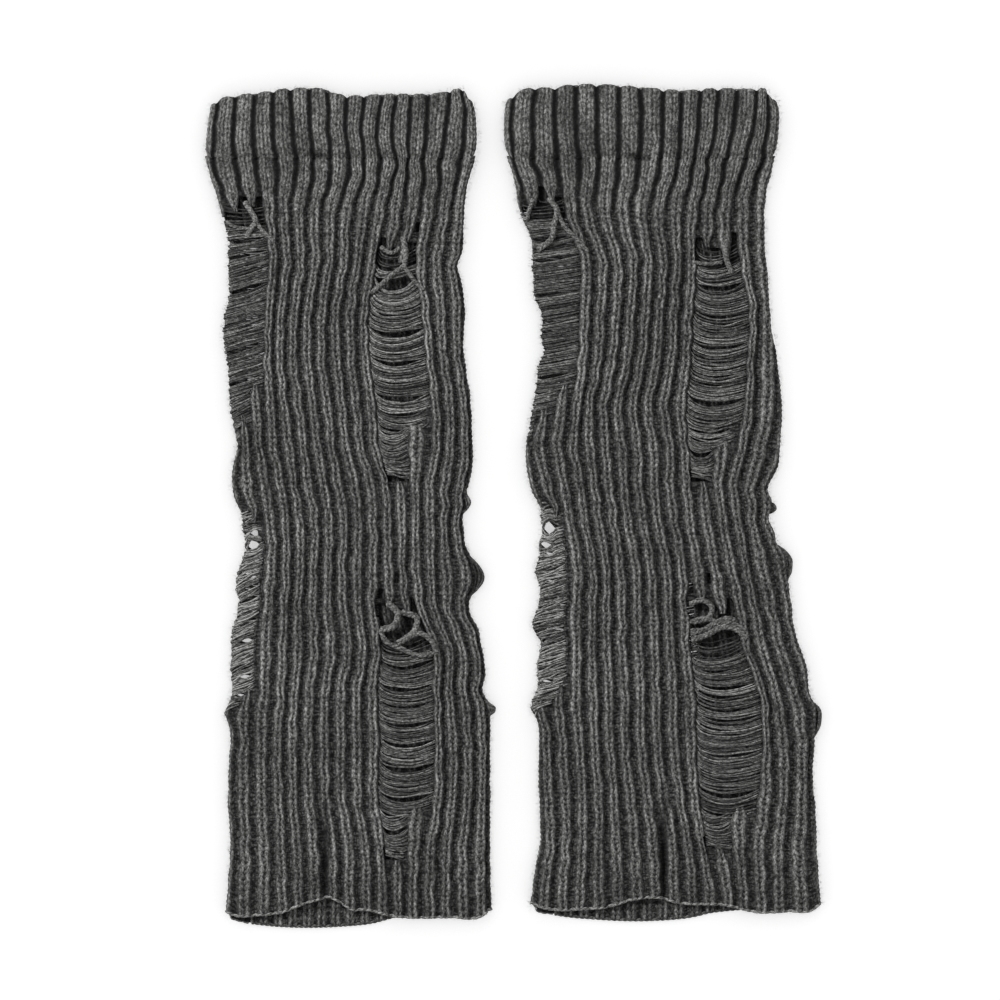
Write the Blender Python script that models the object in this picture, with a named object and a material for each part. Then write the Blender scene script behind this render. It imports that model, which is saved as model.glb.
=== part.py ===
"""A pair of ribbed knit leg warmers with dropped-stitch ladders, laid flat side by side, cuffs away.

Each leg is one knitted tube: its front and back walls meet at the side folds, and a doubled ribbed
band finishes the top. Lengths in the tables are millimetres, x and y from the leg's own middle.
Wales, the ribs' numbers across a leg, grow from left to right: wale 3 is the valley after rib 3.
"""

import math

import bmesh
import bpy

MM = 0.001

# Heights above the surface that the pair lies on.
BACK_WALL = 2.2
FRONT_INSIDE = 3.2
FRONT_VALLEY = 5.0
FRONT_RIDGE = 6.6
BAND_BACK_WALL = 2.9
BAND_INSIDE = 3.7
BAND_VALLEY = 6.3
BAND_RIDGE = 7.9
FOLD_HEIGHT = 2.9
SEAM_GAP = 0.3

# Side folds: how far in the wall's end face and its first lines lie.
WALL_END = 2.0
FOLD_LINES = ((0.0, 0.0), (0.9, 0.62), (2.7, 1.0))

# The band: its seam to the tube, its middle, its cross-sections as shares of its height, its rounded
# top edge with the share of its thickness left there, and how far in its foot and its inside end, in wales.
SEAM_Y = 173.5
BAND_SEAM_Y = SEAM_Y + SEAM_GAP
BAND_MIDDLE_Y = 192.5
BAND_LEVELS = (0.0, 0.22, 0.45, 0.68, 0.86, 0.94, 0.98, 1.0)
BAND_INNER_LEVELS = (0.0, 0.5, 1.0)
BAND_ROUND = 3.6
BAND_EDGE_SHARE = 0.35
BAND_FOLD_HEIGHT = 3.2
BAND_FOOT_INSET = 0.25
BAND_INSIDE_INSET = 0.35
RING_FLATNESS = 12.0

# A rib's raised part, as shares of its pitch, and how near the fold, in wales, the last ridge comes.
BODY_RIDGE = (0.27, 0.73)
BAND_RIDGE_SHARE = (0.16, 0.84)
LAST_RIDGE_INSET = 0.3

# The wales whose x the rib tables give, the hem's usual y, and the rows' spacings.
RIB_COLUMNS = ("y", 3, 5, 8, 10, 11, 12, 13, 14)
HEM_Y = -200.0
RIB_ROW_STEP = 20.0
LEAST_ROW = 1.2

LEFT = {
    "middle": (-79.2, 0.2),
    "wales": (0.3, 15.9),
    # y, the left fold's x, the right fold's x
    "sides": (
        (204.0, -73.0, 58.0),
        (200.0, -72.7, 60.0),
        (190.0, -74.0, 61.6),
        (182.0, -74.8, 61.8),
        (173.0, -75.0, 60.8),
        (165.0, -73.0, 58.5),
        (157.5, -70.5, 56.5),
        (150.0, -68.5, 55.5),
        (142.5, -66.8, 55.0),
        (132.5, -63.8, 54.8),
        (125.0, -64.0, 53.5),
        (120.0, -64.0, 51.8),
        (112.5, -63.5, 53.3),
        (102.5, -64.0, 55.0),
        (95.0, -65.8, 55.3),
        (80.0, -65.8, 54.5),
        (67.5, -64.0, 55.8),
        (52.5, -63.3, 58.0),
        (37.5, -60.8, 58.8),
        (30.0, -59.5, 59.0),
        (20.0, -61.3, 59.0),
        (10.0, -62.0, 57.0),
        (5.5, -61.0, 55.5),
        (0.0, -59.5, 56.5),
        (-4.5, -57.5, 54.5),
        (-12.5, -56.8, 54.5),
        (-21.0, -55.0, 55.8),
        (-27.5, -56.8, 58.8),
        (-35.0, -59.5, 61.0),
        (-42.5, -59.8, 60.0),
        (-48.0, -58.5, 57.5),
        (-53.0, -59.0, 57.5),
        (-61.5, -61.8, 61.5),
        (-72.5, -62.3, 63.8),
        (-85.0, -62.5, 65.5),
        (-93.0, -62.0, 64.0),
        (-99.0, -63.5, 67.0),
        (-104.0, -65.3, 67.8),
        (-112.5, -63.0, 67.8),
        (-130.0, -63.5, 67.8),
        (-150.0, -64.0, 67.8),
        (-167.5, -62.8, 67.8),
        (-190.0, -64.0, 68.0),
        (-206.0, -65.3, 68.8),
    ),
    # y, then the x of the wales in RIB_COLUMNS
    "ribs": (
        (202.5, -50.0, -32.0, -4.0, 13.5, 20.5, 28.0, 36.5, 47.5),
        (187.5, -51.0, -31.0, -4.5, 11.0, 18.5, 27.0, 35.5, 45.5),
        (170.0, -49.5, -29.5, -2.5, 12.5, 19.5, 26.5, 35.0, 43.5),
        (145.0, -46.0, -32.0, -8.5, 8.0, 16.0, 24.0, 32.5, 40.5),
        (122.5, -44.0, -30.5, -9.0, 5.0, 12.5, 20.5, 29.0, 37.0),
        (97.5, -46.0, -33.5, -13.0, 1.5, 8.0, 20.5, 32.5, 38.5),
        (72.5, -46.5, -34.5, -13.0, 2.0, 8.5, 21.5, 34.5, 41.0),
        (47.5, -45.5, -31.5, -10.0, 4.5, 12.0, 24.5, 37.5, 44.0),
        (27.5, -44.5, -29.0, -8.0, 6.5, 13.5, 25.0, 37.0, 44.0),
        (12.5, -41.0, -27.5, -5.0, 11.5, 18.0, 26.5, 34.0, 41.5),
        (-7.5, -38.5, -24.0, -2.0, 12.5, 20.0, 27.0, 34.0, 41.5),
        (-32.5, -37.5, -24.0, -3.0, 13.0, 20.5, 27.0, 34.5, 41.5),
        (-52.5, -39.0, -25.0, -2.0, 12.5, 22.5, 30.0, 36.5, 43.0),
        (-72.5, -40.0, -24.5, 0.5, 14.0, 25.0, 38.0, 44.0, 50.5),
        (-92.5, -40.5, -26.5, -3.0, 12.5, 24.5, 38.0, 44.0, 50.5),
        (-117.5, -42.5, -27.5, -3.0, 13.5, 25.5, 39.0, 45.0, 53.0),
        (-147.5, -42.0, -27.0, -2.5, 13.0, 24.5, 38.0, 45.0, 52.5),
        (-172.5, -41.0, -25.0, 1.5, 16.5, 25.0, 34.0, 42.0, 49.5),
        (-192.5, -40.5, -24.0, 1.5, 18.0, 25.0, 33.0, 41.5, 49.5),
    ),
    # x, and the y of the edge there
    "band_top": (
        (-72.5, 197.0),
        (-69.0, 202.5),
        (-62.0, 204.5),
        (-46.0, 207.0),
        (-28.0, 209.0),
        (-16.0, 208.5),
        (-10.0, 206.3),
        (16.0, 206.0),
        (40.0, 206.5),
        (50.0, 208.3),
        (57.0, 207.3),
        (60.5, 201.5),
    ),
    "front_hem": (
        (-65.0, -203.5),
        (-61.0, -205.0),
        (-49.0, -205.0),
        (-35.0, -203.0),
        (-27.5, -200.0),
        (-18.0, -197.0),
        (-13.0, -196.0),
        (-7.5, -198.5),
        (-2.5, -201.8),
        (6.0, -202.3),
        (17.0, -205.0),
        (49.0, -206.0),
        (62.0, -206.0),
        (68.0, -202.5),
    ),
    "back_hem": (
        (-65.0, -203.5),
        (-61.0, -207.0),
        (-56.0, -208.5),
        (-47.0, -209.8),
        (-29.0, -211.0),
        (-7.5, -210.5),
        (8.0, -209.0),
        (22.0, -205.5),
        (35.0, -204.0),
        (62.0, -204.5),
        (68.0, -202.0),
    ),
    # Ladders of the front: wales, first and last y, y where the right side starts to close, gaps
    "front_ladders": (
        ("fold", 3.27, 134.0, 36.0, 66.0, 8),
        (11, 13.27, 112.0, 16.0, 44.0, 8),
        ("fold", 1.27, -13.0, -100.0, -92.0, 8),
        (10, 12.27, -79.0, -171.0, -146.0, 8),
    ),
    # Torn holes at the ladders' tops: first and last wale, top and bottom y
    "front_holes": (
        ("fold", 1.73, 145.5, 140.5),
        (2.27, 3, 153.0, 146.5),
        (11, 12.27, 125.5, 119.5),
        (12.73, 13.27, 132.5, 125.5),
        (10, 10.73, -49.0, -57.0),
        (11, 11.73, -58.0, -66.0),
        (11.27, 12.27, -68.0, -75.0),
    ),
}

RIGHT = {
    "middle": (73.3, 0.2),
    "wales": (0.2, 15.4),
    "sides": (
        (206.0, -76.0, 57.0),
        (200.0, -77.5, 59.8),
        (190.0, -78.3, 60.3),
        (182.0, -78.0, 59.5),
        (173.0, -76.3, 57.5),
        (165.0, -73.8, 55.8),
        (157.5, -72.3, 54.0),
        (147.5, -71.0, 52.8),
        (141.5, -68.5, 52.8),
        (135.0, -65.3, 52.8),
        (127.5, -64.5, 53.0),
        (115.0, -64.0, 54.5),
        (103.5, -63.0, 55.3),
        (97.0, -60.0, 55.8),
        (82.5, -59.5, 58.0),
        (77.0, -58.3, 59.0),
        (71.5, -60.8, 59.5),
        (60.0, -62.3, 60.5),
        (45.0, -64.8, 61.5),
        (32.5, -67.3, 60.8),
        (22.5, -67.3, 60.0),
        (15.0, -66.3, 57.8),
        (7.5, -64.5, 54.5),
        (2.5, -62.5, 56.8),
        (-1.5, -60.3, 56.5),
        (-6.5, -60.0, 55.3),
        (-14.0, -59.3, 58.3),
        (-19.5, -61.0, 59.5),
        (-22.5, -60.5, 62.0),
        (-34.0, -62.8, 64.0),
        (-41.0, -60.5, 65.3),
        (-50.0, -61.3, 66.5),
        (-60.0, -64.3, 67.5),
        (-68.5, -60.3, 69.5),
        (-80.0, -62.0, 73.5),
        (-92.5, -62.0, 75.0),
        (-97.5, -64.3, 76.5),
        (-100.5, -64.8, 78.3),
        (-108.5, -61.8, 78.3),
        (-122.5, -60.8, 77.5),
        (-135.0, -61.0, 76.8),
        (-155.0, -60.3, 78.3),
        (-171.5, -60.5, 79.0),
        (-180.0, -62.5, 79.5),
        (-199.0, -65.0, 81.0),
    ),
    "ribs": (
        (202.5, -52.5, -31.5, 1.5, 20.0, 29.0, 38.5, 48.5, 54.0),
        (187.5, -52.5, -31.5, 1.5, 19.0, 27.5, 36.5, 46.5, 54.0),
        (170.0, -50.5, -31.0, 0.0, 17.0, 24.5, 33.0, 41.0, 49.0),
        (145.0, -48.0, -32.0, -5.0, 12.0, 20.0, 28.0, 37.0, 46.0),
        (122.5, -41.0, -25.0, -2.0, 12.5, 19.5, 28.5, 38.5, 46.5),
        (97.5, -41.5, -25.5, -3.5, 10.5, 18.0, 31.0, 44.0, 49.5),
        (72.5, -42.0, -27.5, -5.5, 9.5, 16.5, 29.0, 42.5, 48.5),
        (47.5, -45.0, -32.0, -10.0, 6.0, 14.5, 27.0, 41.0, 48.0),
        (27.5, -47.0, -31.0, -7.0, 9.0, 15.5, 25.5, 37.0, 44.5),
        (12.5, -44.0, -29.5, -7.0, 9.0, 17.5, 25.5, 33.0, 41.0),
        (-7.5, -41.5, -27.0, -5.0, 11.0, 19.0, 27.5, 35.5, 42.5),
        (-32.5, -36.5, -23.5, -0.5, 15.0, 23.5, 32.0, 40.0, 46.5),
        (-52.5, -37.5, -23.0, 0.5, 16.0, 26.0, 36.5, 44.0, 51.0),
        (-72.5, -37.5, -23.0, 1.5, 16.5, 28.0, 41.0, 47.0, 55.5),
        (-92.5, -37.5, -21.5, 2.0, 19.0, 32.0, 48.0, 54.0, 61.5),
        (-117.5, -36.5, -21.5, 2.5, 19.5, 33.5, 50.5, 56.5, 66.0),
        (-147.5, -34.5, -19.0, 6.5, 21.0, 33.0, 47.5, 57.5, 66.0),
        (-172.5, -35.0, -17.5, 11.0, 25.0, 35.0, 44.5, 54.5, 63.5),
        (-192.5, -35.5, -16.0, 11.5, 29.5, 38.0, 46.0, 55.0, 64.5),
    ),
    "band_top": (
        (-77.0, 203.0),
        (-74.5, 206.0),
        (-70.0, 208.0),
        (-52.0, 209.3),
        (-45.0, 210.4),
        (-26.0, 210.5),
        (-8.0, 209.3),
        (14.0, 207.8),
        (24.0, 208.7),
        (43.0, 208.4),
        (54.0, 207.5),
        (59.0, 202.5),
    ),
    "front_hem": (
        (-65.0, -199.0),
        (-57.5, -201.5),
        (-40.0, -202.0),
        (-26.0, -200.8),
        (-14.0, -197.3),
        (0.0, -196.3),
        (8.0, -198.5),
        (33.0, -200.0),
        (49.0, -203.5),
        (64.0, -203.0),
        (78.0, -201.5),
        (81.0, -199.0),
    ),
    "back_hem": (
        (-65.0, -199.0),
        (-62.0, -202.5),
        (-54.0, -204.5),
        (-31.0, -207.0),
        (-3.0, -207.6),
        (18.0, -205.5),
        (25.0, -203.8),
        (33.0, -202.8),
        (45.0, -201.8),
        (78.0, -200.0),
        (81.0, -198.5),
    ),
    "front_ladders": (
        ("fold", 3.27, 127.0, 41.0, 68.0, 8),
        (11, 13.27, 116.0, 14.0, 44.0, 8),
        ("fold", 1.27, -7.0, -98.0, -90.0, 8),
        (10, 12.27, -79.0, -169.0, -148.0, 8),
    ),
    "front_holes": (
        ("fold", 1.73, 149.0, 142.5),
        (2.27, 3, 152.5, 147.5),
        (1.27, 3.27, 135.0, 130.0),
        (11, 11.73, 128.0, 121.5),
        (12.27, 13.27, 131.0, 124.0),
        (10, 10.73, -49.5, -56.0),
        (11, 12.27, -57.5, -62.5),
        (10, 11.73, -65.5, -72.5),
    ),
}

# The hidden back: ladders along the left fold as on the front, two in its middle, two by the right fold.
BACK_LADDERS = (
    ("fold", 2, 130.0, 45.0, 60.0, 6),
    ("fold", 2, -11.0, -98.0, -90.0, 7),
    (5, 7, 150.0, 60.0, 80.0, 7),
    (6, 8, -30.0, -130.0, -110.0, 7),
    (13, "fold", 6.0, -100.0, -100.0, 8),
)

# A ladder's gaps, and how far above its gaps the ribs end and above its bottom they start again.
GAP_HEIGHT = 4.4
SMALLER_GAP = 0.82
GAP_SAG = 2.0
GAP_UNEVEN = (0.0, 0.9, -0.7, 0.4, -1.0, 0.8, -0.3, 0.6)
CLOSING_SHARE = 0.7
RIBS_END_ABOVE = 12.0
RIBS_START_ABOVE = 14.0


def reading(rows, column):
    """A smooth function through one column of a table whose first column rises or falls."""
    points = sorted((row[0], row[column]) for row in rows)
    places = [point[0] for point in points]
    values = [point[1] for point in points]
    last = len(points) - 1
    slopes = []
    for index in range(last + 1):
        below = max(index - 1, 0)
        above = min(index + 1, last)
        slopes.append((values[above] - values[below]) / (places[above] - places[below]))

    def value(place):
        if place <= places[0]:
            return values[0]
        if place >= places[last]:
            return values[last]
        index = max(i for i in range(last) if places[i] <= place)
        span = places[index + 1] - places[index]
        t = (place - places[index]) / span
        start = values[index] * (1 + 2 * t) * (1 - t) ** 2 + slopes[index] * span * t * (1 - t) ** 2
        end = values[index + 1] * t * t * (3 - 2 * t) - slopes[index + 1] * span * t * t * (1 - t)
        return start + end

    return value


class Leg:
    """The measured form of one leg: where each wale and fold runs, and where its edges are."""

    def __init__(self, sizes):
        self.sizes = sizes
        self.left = reading(sizes["sides"], 1)
        self.right = reading(sizes["sides"], 2)
        self.first, self.last = sizes["wales"]
        self.guides = [(wale, reading(sizes["ribs"], column))
                       for column, wale in enumerate(RIB_COLUMNS) if column]
        self.band_top = reading(sizes["band_top"], 1)
        self.front_hem = reading(sizes["front_hem"], 1)
        self.back_hem = reading(sizes["back_hem"], 1)

    def across(self, wale, y):
        """The x of a wale at height y."""
        knots = [(self.first, self.left(y))]
        knots += [(number, place(y)) for number, place in self.guides]
        knots += [(self.last, self.right(y))]
        for (low, x_low), (high, x_high) in zip(knots, knots[1:]):
            if wale <= high:
                return x_low + (x_high - x_low) * (wale - low) / (high - low)
        return knots[-1][1]

    def side_rows(self, low, high):
        return [row[0] for row in self.sizes["sides"] if low + LEAST_ROW < row[0] < high - LEAST_ROW]


class Line:
    """A line along the leg: its x, its outer and inner heights, and the rows where it has points."""

    def __init__(self, key, x, x_inside, outer, inner, ends, rows):
        self.key = key
        self.x = x
        self.x_inside = x_inside
        self.outer = outer
        self.inner = inner
        self.low, self.high = ends
        self.rows = [y for y in rows if self.low + LEAST_ROW < y < self.high - LEAST_ROW]
        self.cuts = []

    def close(self):
        """Adds the ends and the gaps' edges, and drops the rows that crowd them."""
        edges = sorted({y for cut in self.cuts for y in cut[:2]} | {self.low, self.high})
        kept = []
        for y in self.rows:
            crowded = any(abs(y - edge) < LEAST_ROW for edge in edges)
            inside = any(bottom < y < top and through for bottom, top, through in self.cuts)
            if not crowded and not inside:
                kept.append(y)
        self.rows = sorted(kept + edges)

    def between(self, low, high):
        return [y for y in self.rows if low - 1e-6 <= y <= high + 1e-6]


class Wall:
    """One wall of cloth as a closed solid, from lines along the leg and the gaps cut through it."""

    def __init__(self, lines, gaps):
        self.lines = lines
        self.gaps = gaps
        self.bm = bmesh.new()
        self.points = {}
        self.places = {line.key: index for index, line in enumerate(lines)}
        self.set_cuts()
        for line in lines:
            line.close()

    def set_cuts(self):
        for gap in self.gaps:
            first, last = self.places[gap["from"]], self.places[gap["to"]]
            middle_y = (gap["top"] + gap["bottom"]) / 2
            x_first = self.lines[first].x(middle_y)
            width = self.lines[last].x(middle_y) - x_first
            gap["edges"] = {}
            for index in range(first, last + 1):
                line = self.lines[index]
                t = (line.x(middle_y) - x_first) / width
                sag = gap["sag"] * 4 * t * (1 - t)
                bottom = round(gap["bottom"] - sag, 3)
                top = round(gap["top"] - sag, 3)
                line.cuts.append((bottom, top, first < index < last))
                gap["edges"][index] = (bottom, top)
            gap["span"] = (first, last)

    def vertex(self, index, y, inside):
        key = (index, round(y, 3), inside)
        if key not in self.points:
            line = self.lines[index]
            x = line.x_inside(y) if inside else line.x(y)
            z = line.inner(y) if inside else line.outer(y)
            self.points[key] = self.bm.verts.new((x * MM, y * MM, z * MM))
        return self.points[key]

    def face(self, *corners):
        self.bm.faces.new(corners)

    def zip_up(self, first, second):
        """Fills between two rows of points, given as (place, vertex), with triangles."""
        i = j = 0
        while i < len(first) - 1 or j < len(second) - 1:
            step_first = j == len(second) - 1
            if i < len(first) - 1 and j < len(second) - 1:
                step_first = first[i + 1][0] + first[i][0] <= second[j + 1][0] + second[j][0]
            if step_first:
                self.face(first[i][1], second[j][1], first[i + 1][1])
                i += 1
            else:
                self.face(first[i][1], second[j][1], second[j + 1][1])
                j += 1

    def run(self, index, low, high, inside):
        """The line's points from one height to another, placed by their share of the way."""
        rows = self.lines[index].between(low, high)
        return [((y - low) / (high - low), self.vertex(index, y, inside)) for y in rows]

    def strip(self, a, b, inside):
        """One strip of surface between two lines, left open at the gaps that cross it."""
        low_a, low_b = self.lines[a].low, self.lines[b].low
        crossing = [gap for gap in self.gaps if gap["span"][0] <= a and b <= gap["span"][1]]
        for gap in sorted(crossing, key=lambda gap: gap["bottom"]):
            bottom_a, top_a = gap["edges"][a]
            bottom_b, top_b = gap["edges"][b]
            self.zip_up(self.run(a, low_a, bottom_a, inside), self.run(b, low_b, bottom_b, inside))
            low_a, low_b = top_a, top_b
        high_a, high_b = self.lines[a].high, self.lines[b].high
        self.zip_up(self.run(a, low_a, high_a, inside), self.run(b, low_b, high_b, inside))

    def edge(self, indexes, inside_indexes, height):
        """A face between the outer and the inner points of an edge that crosses the lines."""
        outer = [(self.lines[i].x(height(i)), self.vertex(i, height(i), False)) for i in indexes]
        inner = [(self.lines[i].x(height(i)), self.vertex(i, height(i), True)) for i in inside_indexes]
        self.zip_up(outer, inner)

    def side(self, index, low, high):
        self.zip_up(self.run(index, low, high, False), self.run(index, low, high, True))

    def solid(self, inside_keys):
        ends = {end for gap in self.gaps for end in gap["span"]}
        inside = [i for i, line in enumerate(self.lines) if line.key in inside_keys or i in ends]
        for a in range(len(self.lines) - 1):
            self.strip(a, a + 1, False)
        for a, b in zip(inside, inside[1:]):
            self.strip(a, b, True)
        everywhere = range(len(self.lines))
        self.edge(everywhere, inside, lambda i: self.lines[i].low)
        self.edge(everywhere, inside, lambda i: self.lines[i].high)
        self.side(0, self.lines[0].low, self.lines[0].high)
        self.side(len(self.lines) - 1, self.lines[-1].low, self.lines[-1].high)
        for gap in self.gaps:
            first, last = gap["span"]
            across = range(first, last + 1)
            across_inside = [i for i in inside if first <= i <= last]
            self.edge(across, across_inside, lambda i: gap["edges"][i][0])
            self.edge(across, across_inside, lambda i: gap["edges"][i][1])
            self.side(first, *gap["edges"][first])
            self.side(last, *gap["edges"][last])
        return self.bm


def ladder_gaps(ladders, holes, keys):
    """The gaps of each ladder: even rows a little out of step, narrower where its side closes."""
    gaps = []
    for first, last, top_y, bottom_y, closing_y, count in ladders:
        pitch = (top_y - bottom_y) / count
        start = keys.index("fold left" if first == "fold" else first)
        for index in range(count):
            y = top_y - pitch * (index + 0.5) + GAP_UNEVEN[index % len(GAP_UNEVEN)]
            closed = (closing_y - y) / (closing_y - bottom_y) if y < closing_y else 0.0
            end = keys.index("fold right" if last == "fold" else last)
            end -= round(closed * CLOSING_SHARE * (end - start))
            half = GAP_HEIGHT / 2 * (SMALLER_GAP if index % 2 else 1.0)
            gaps.append({"from": keys[start], "to": keys[end], "top": y + half, "bottom": y - half,
                         "sag": GAP_SAG})
    for first, last, top_y, bottom_y in holes:
        start = "fold left" if first == "fold" else first
        gaps.append({"from": start, "to": last, "top": top_y, "bottom": bottom_y, "sag": 0.0})
    return gaps


def constant(value):
    return lambda y: value


def blocked(zones, wale, y):
    """True where a ladder takes the ribs away."""
    return any(low < wale < high and bottom < y < top for low, high, top, bottom in zones)


def fold_lines(leg, left_side, ends, heights, inside_height):
    """The lines that turn the wall's edge down at a side fold, from the fold inward."""
    edge, top = heights
    fold = leg.left if left_side else leg.right
    side = "left" if left_side else "right"
    inward = 1 if left_side else -1
    lines = []
    for (depth, share), name in zip(FOLD_LINES, ("side", "turn", "fold")):
        x = (lambda y, depth=depth: fold(y) + inward * depth)
        x_inside = x
        inner = constant(inside_height)
        if name == "side":
            x_inside = (lambda y: fold(y) + inward * WALL_END)
            inner = constant(edge)
        outer = constant(edge + (top - edge) * share)
        low = ends[0](x(0.0))
        high = ends[1](x(0.0))
        rows = leg.side_rows(low, high)
        lines.append(Line(f"{name} {side}", x, x_inside, outer, inner, (low, high), rows))
    return lines if left_side else lines[::-1]


def rib_stations(leg, ridge):
    """The valleys and the shoulders of the ridges between them, left to right, as (wale, is a valley)."""
    first_valley = math.ceil(leg.first)
    stations = [(first_valley - 1 + ridge[1], False)]
    for valley in range(first_valley, math.ceil(leg.last)):
        stations.append((valley, True))
        for share in ridge:
            if valley + share < leg.last - LAST_RIDGE_INSET:
                stations.append((round(valley + share, 2), False))
    return stations


def rib_rows(low, high):
    count = max(2, round((high - low) / RIB_ROW_STEP))
    return [low + (high - low) * step / count for step in range(1, count)]


def front_wall(leg):
    """The front: raised ribs outside, a plain inside, and the ladders' gaps."""
    ends = (leg.front_hem, constant(SEAM_Y))
    edge = FOLD_HEIGHT + SEAM_GAP / 2
    zones = []
    for first, last, top, bottom, closing, _ in leg.sizes["front_ladders"]:
        low = leg.first if first == "fold" else first
        zones.append((low, last, top + RIBS_END_ABOVE, min(closing, bottom + RIBS_START_ABOVE)))
    lines = fold_lines(leg, True, ends, (edge, FRONT_RIDGE), FRONT_INSIDE)
    for wale, valley in rib_stations(leg, BODY_RIDGE):
        x = (lambda y, wale=wale: leg.across(wale, y))

        def outer(y, wale=wale, valley=valley):
            return FRONT_VALLEY if valley or blocked(zones, wale, y) else FRONT_RIDGE

        low = leg.front_hem(leg.across(wale, HEM_Y))
        rows = rib_rows(low, SEAM_Y)
        lines.append(Line(wale, x, x, outer, constant(FRONT_INSIDE), (low, SEAM_Y), rows))
    lines += fold_lines(leg, False, ends, (edge, FRONT_RIDGE), FRONT_INSIDE)
    keys = [line.key for line in lines]
    gaps = ladder_gaps(leg.sizes["front_ladders"], leg.sizes["front_holes"], keys)
    inside = {key for key in keys if isinstance(key, int) or "side" in str(key)}
    return Wall(lines, gaps).solid(inside)


def back_wall(leg):
    """The back: flat underneath where it rests, plain inside, with its own ladders."""
    ends = (leg.back_hem, constant(SEAM_Y))
    edge = FOLD_HEIGHT - SEAM_GAP / 2
    lines = fold_lines(leg, True, ends, (edge, 0.0), BACK_WALL)
    for wale in range(1, math.ceil(leg.last)):
        x = (lambda y, wale=wale: leg.across(wale, y))
        low = leg.back_hem(leg.across(wale, HEM_Y))
        rows = rib_rows(low, SEAM_Y)
        lines.append(Line(wale, x, x, constant(0.0), constant(BACK_WALL), (low, SEAM_Y), rows))
    lines += fold_lines(leg, False, ends, (edge, 0.0), BACK_WALL)
    keys = [line.key for line in lines]
    gaps = ladder_gaps(BACK_LADDERS, (), keys)
    inside = {key for key in keys if isinstance(key, int) or "side" in key}
    return Wall(lines, gaps).solid(inside)


def band_place(leg, wale, share):
    """The x and y of a wale at this share of the band's height."""
    height = leg.band_top(leg.across(wale, BAND_MIDDLE_Y)) - BAND_SEAM_Y
    x = leg.across(wale, BAND_SEAM_Y + share * height)
    return x, BAND_SEAM_Y + share * (leg.band_top(x) - BAND_SEAM_Y)


def band_outside(leg, share):
    """One cross-section's outer loop: the left fold, the ribbed front, the right fold, the flat foot."""

    def raised(x, y, top):
        """The height of the cloth's face, lower where the top edge is rounded."""
        below_edge = max(leg.band_top(x) - y, 0.0)
        full = 1.0
        if below_edge < BAND_ROUND:
            arc = math.sqrt(1 - (1 - below_edge / BAND_ROUND) ** 2)
            full = BAND_EDGE_SHARE + (1 - BAND_EDGE_SHARE) * arc
        return BAND_FOLD_HEIGHT + (top - BAND_FOLD_HEIGHT) * full

    turn_in, turn_share = FOLD_LINES[1]
    turn_top = BAND_FOLD_HEIGHT + (BAND_RIDGE - BAND_FOLD_HEIGHT) * turn_share
    x_left, y_left = band_place(leg, leg.first, share)
    x_right, y_right = band_place(leg, leg.last, share)
    points = [(x_left, y_left, BAND_FOLD_HEIGHT)]
    points.append((x_left + turn_in, y_left, raised(x_left, y_left, turn_top)))
    for wale, valley in rib_stations(leg, BAND_RIDGE_SHARE):
        x, y = band_place(leg, wale, share)
        points.append((x, y, raised(x, y, BAND_VALLEY if valley else BAND_RIDGE)))
    points.append((x_right - turn_in, y_right, raised(x_right, y_right, turn_top)))
    points.append((x_right, y_right, BAND_FOLD_HEIGHT))
    foot = [leg.last - BAND_FOOT_INSET]
    foot += range(math.ceil(leg.last) - 2, 1, -2)
    foot += [leg.first + BAND_FOOT_INSET]
    for wale in foot:
        points.append((*band_place(leg, wale, share), 0.0))
    return points


def band_inside(leg, share):
    """One cross-section's inner loop: a thin flat hollow where the leg goes in."""
    wales = [leg.first + BAND_INSIDE_INSET]
    wales += range(3, math.ceil(leg.last) - 1, 2)
    wales += [leg.last - BAND_INSIDE_INSET]
    points = [(*band_place(leg, wale, share), BAND_INSIDE) for wale in wales]
    points += [(*band_place(leg, wale, share), BAND_BACK_WALL) for wale in wales[::-1]]
    return points


def tube(bm, sections):
    """Joins a row of closed loops with quads and gives their corners."""
    rings = [[bm.verts.new([value * MM for value in point]) for point in section] for section in sections]
    for below, above in zip(rings, rings[1:]):
        for index in range(len(below)):
            after = (index + 1) % len(below)
            bm.faces.new((below[index], below[after], above[after], above[index]))
    return rings


def band(leg):
    """The doubled band: a flattened ring, ribbed in front, flat behind, its top edge rounded."""
    bm = bmesh.new()
    outside = tube(bm, [band_outside(leg, share) for share in BAND_LEVELS])
    inside = tube(bm, [band_inside(leg, share) for share in BAND_INNER_LEVELS])
    for end in (0, -1):
        close_ring(bm, outside[end], inside[end])
    return bm


def close_ring(bm, outer, inner):
    """Fills between an outer and an inner loop with triangles, turning by the angle about the middle."""
    middle_x = sum(vertex.co.x for vertex in inner) / len(inner)
    middle_z = sum(vertex.co.z for vertex in inner) / len(inner)

    def turned(loop):
        angles = [math.atan2((v.co.z - middle_z) * RING_FLATNESS, v.co.x - middle_x) for v in loop]
        start = angles.index(max(angles))
        order = [(start + step) % len(loop) for step in range(len(loop))]
        corners = [(angles[index], loop[index]) for index in order]
        return corners + [(angles[start] - 2 * math.pi, loop[start])]

    first, second = turned(outer), turned(inner)
    i = j = 0
    while i < len(first) - 1 or j < len(second) - 1:
        step_first = j == len(second) - 1
        if i < len(first) - 1 and j < len(second) - 1:
            step_first = first[i + 1][0] + first[i][0] >= second[j + 1][0] + second[j][0]
        if step_first:
            bm.faces.new((first[i][1], second[j][1], first[i + 1][1]))
            i += 1
        else:
            bm.faces.new((first[i][1], second[j][1], second[j + 1][1]))
            j += 1


def knit_material(name, colour):
    material = bpy.data.materials.new(name)
    material.use_nodes = True
    shader = material.node_tree.nodes["Principled BSDF"]
    shader.inputs["Base Color"].default_value = (*colour, 1.0)
    shader.inputs["Roughness"].default_value = 0.95
    shader.inputs["Metallic"].default_value = 0.0
    return material


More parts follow.
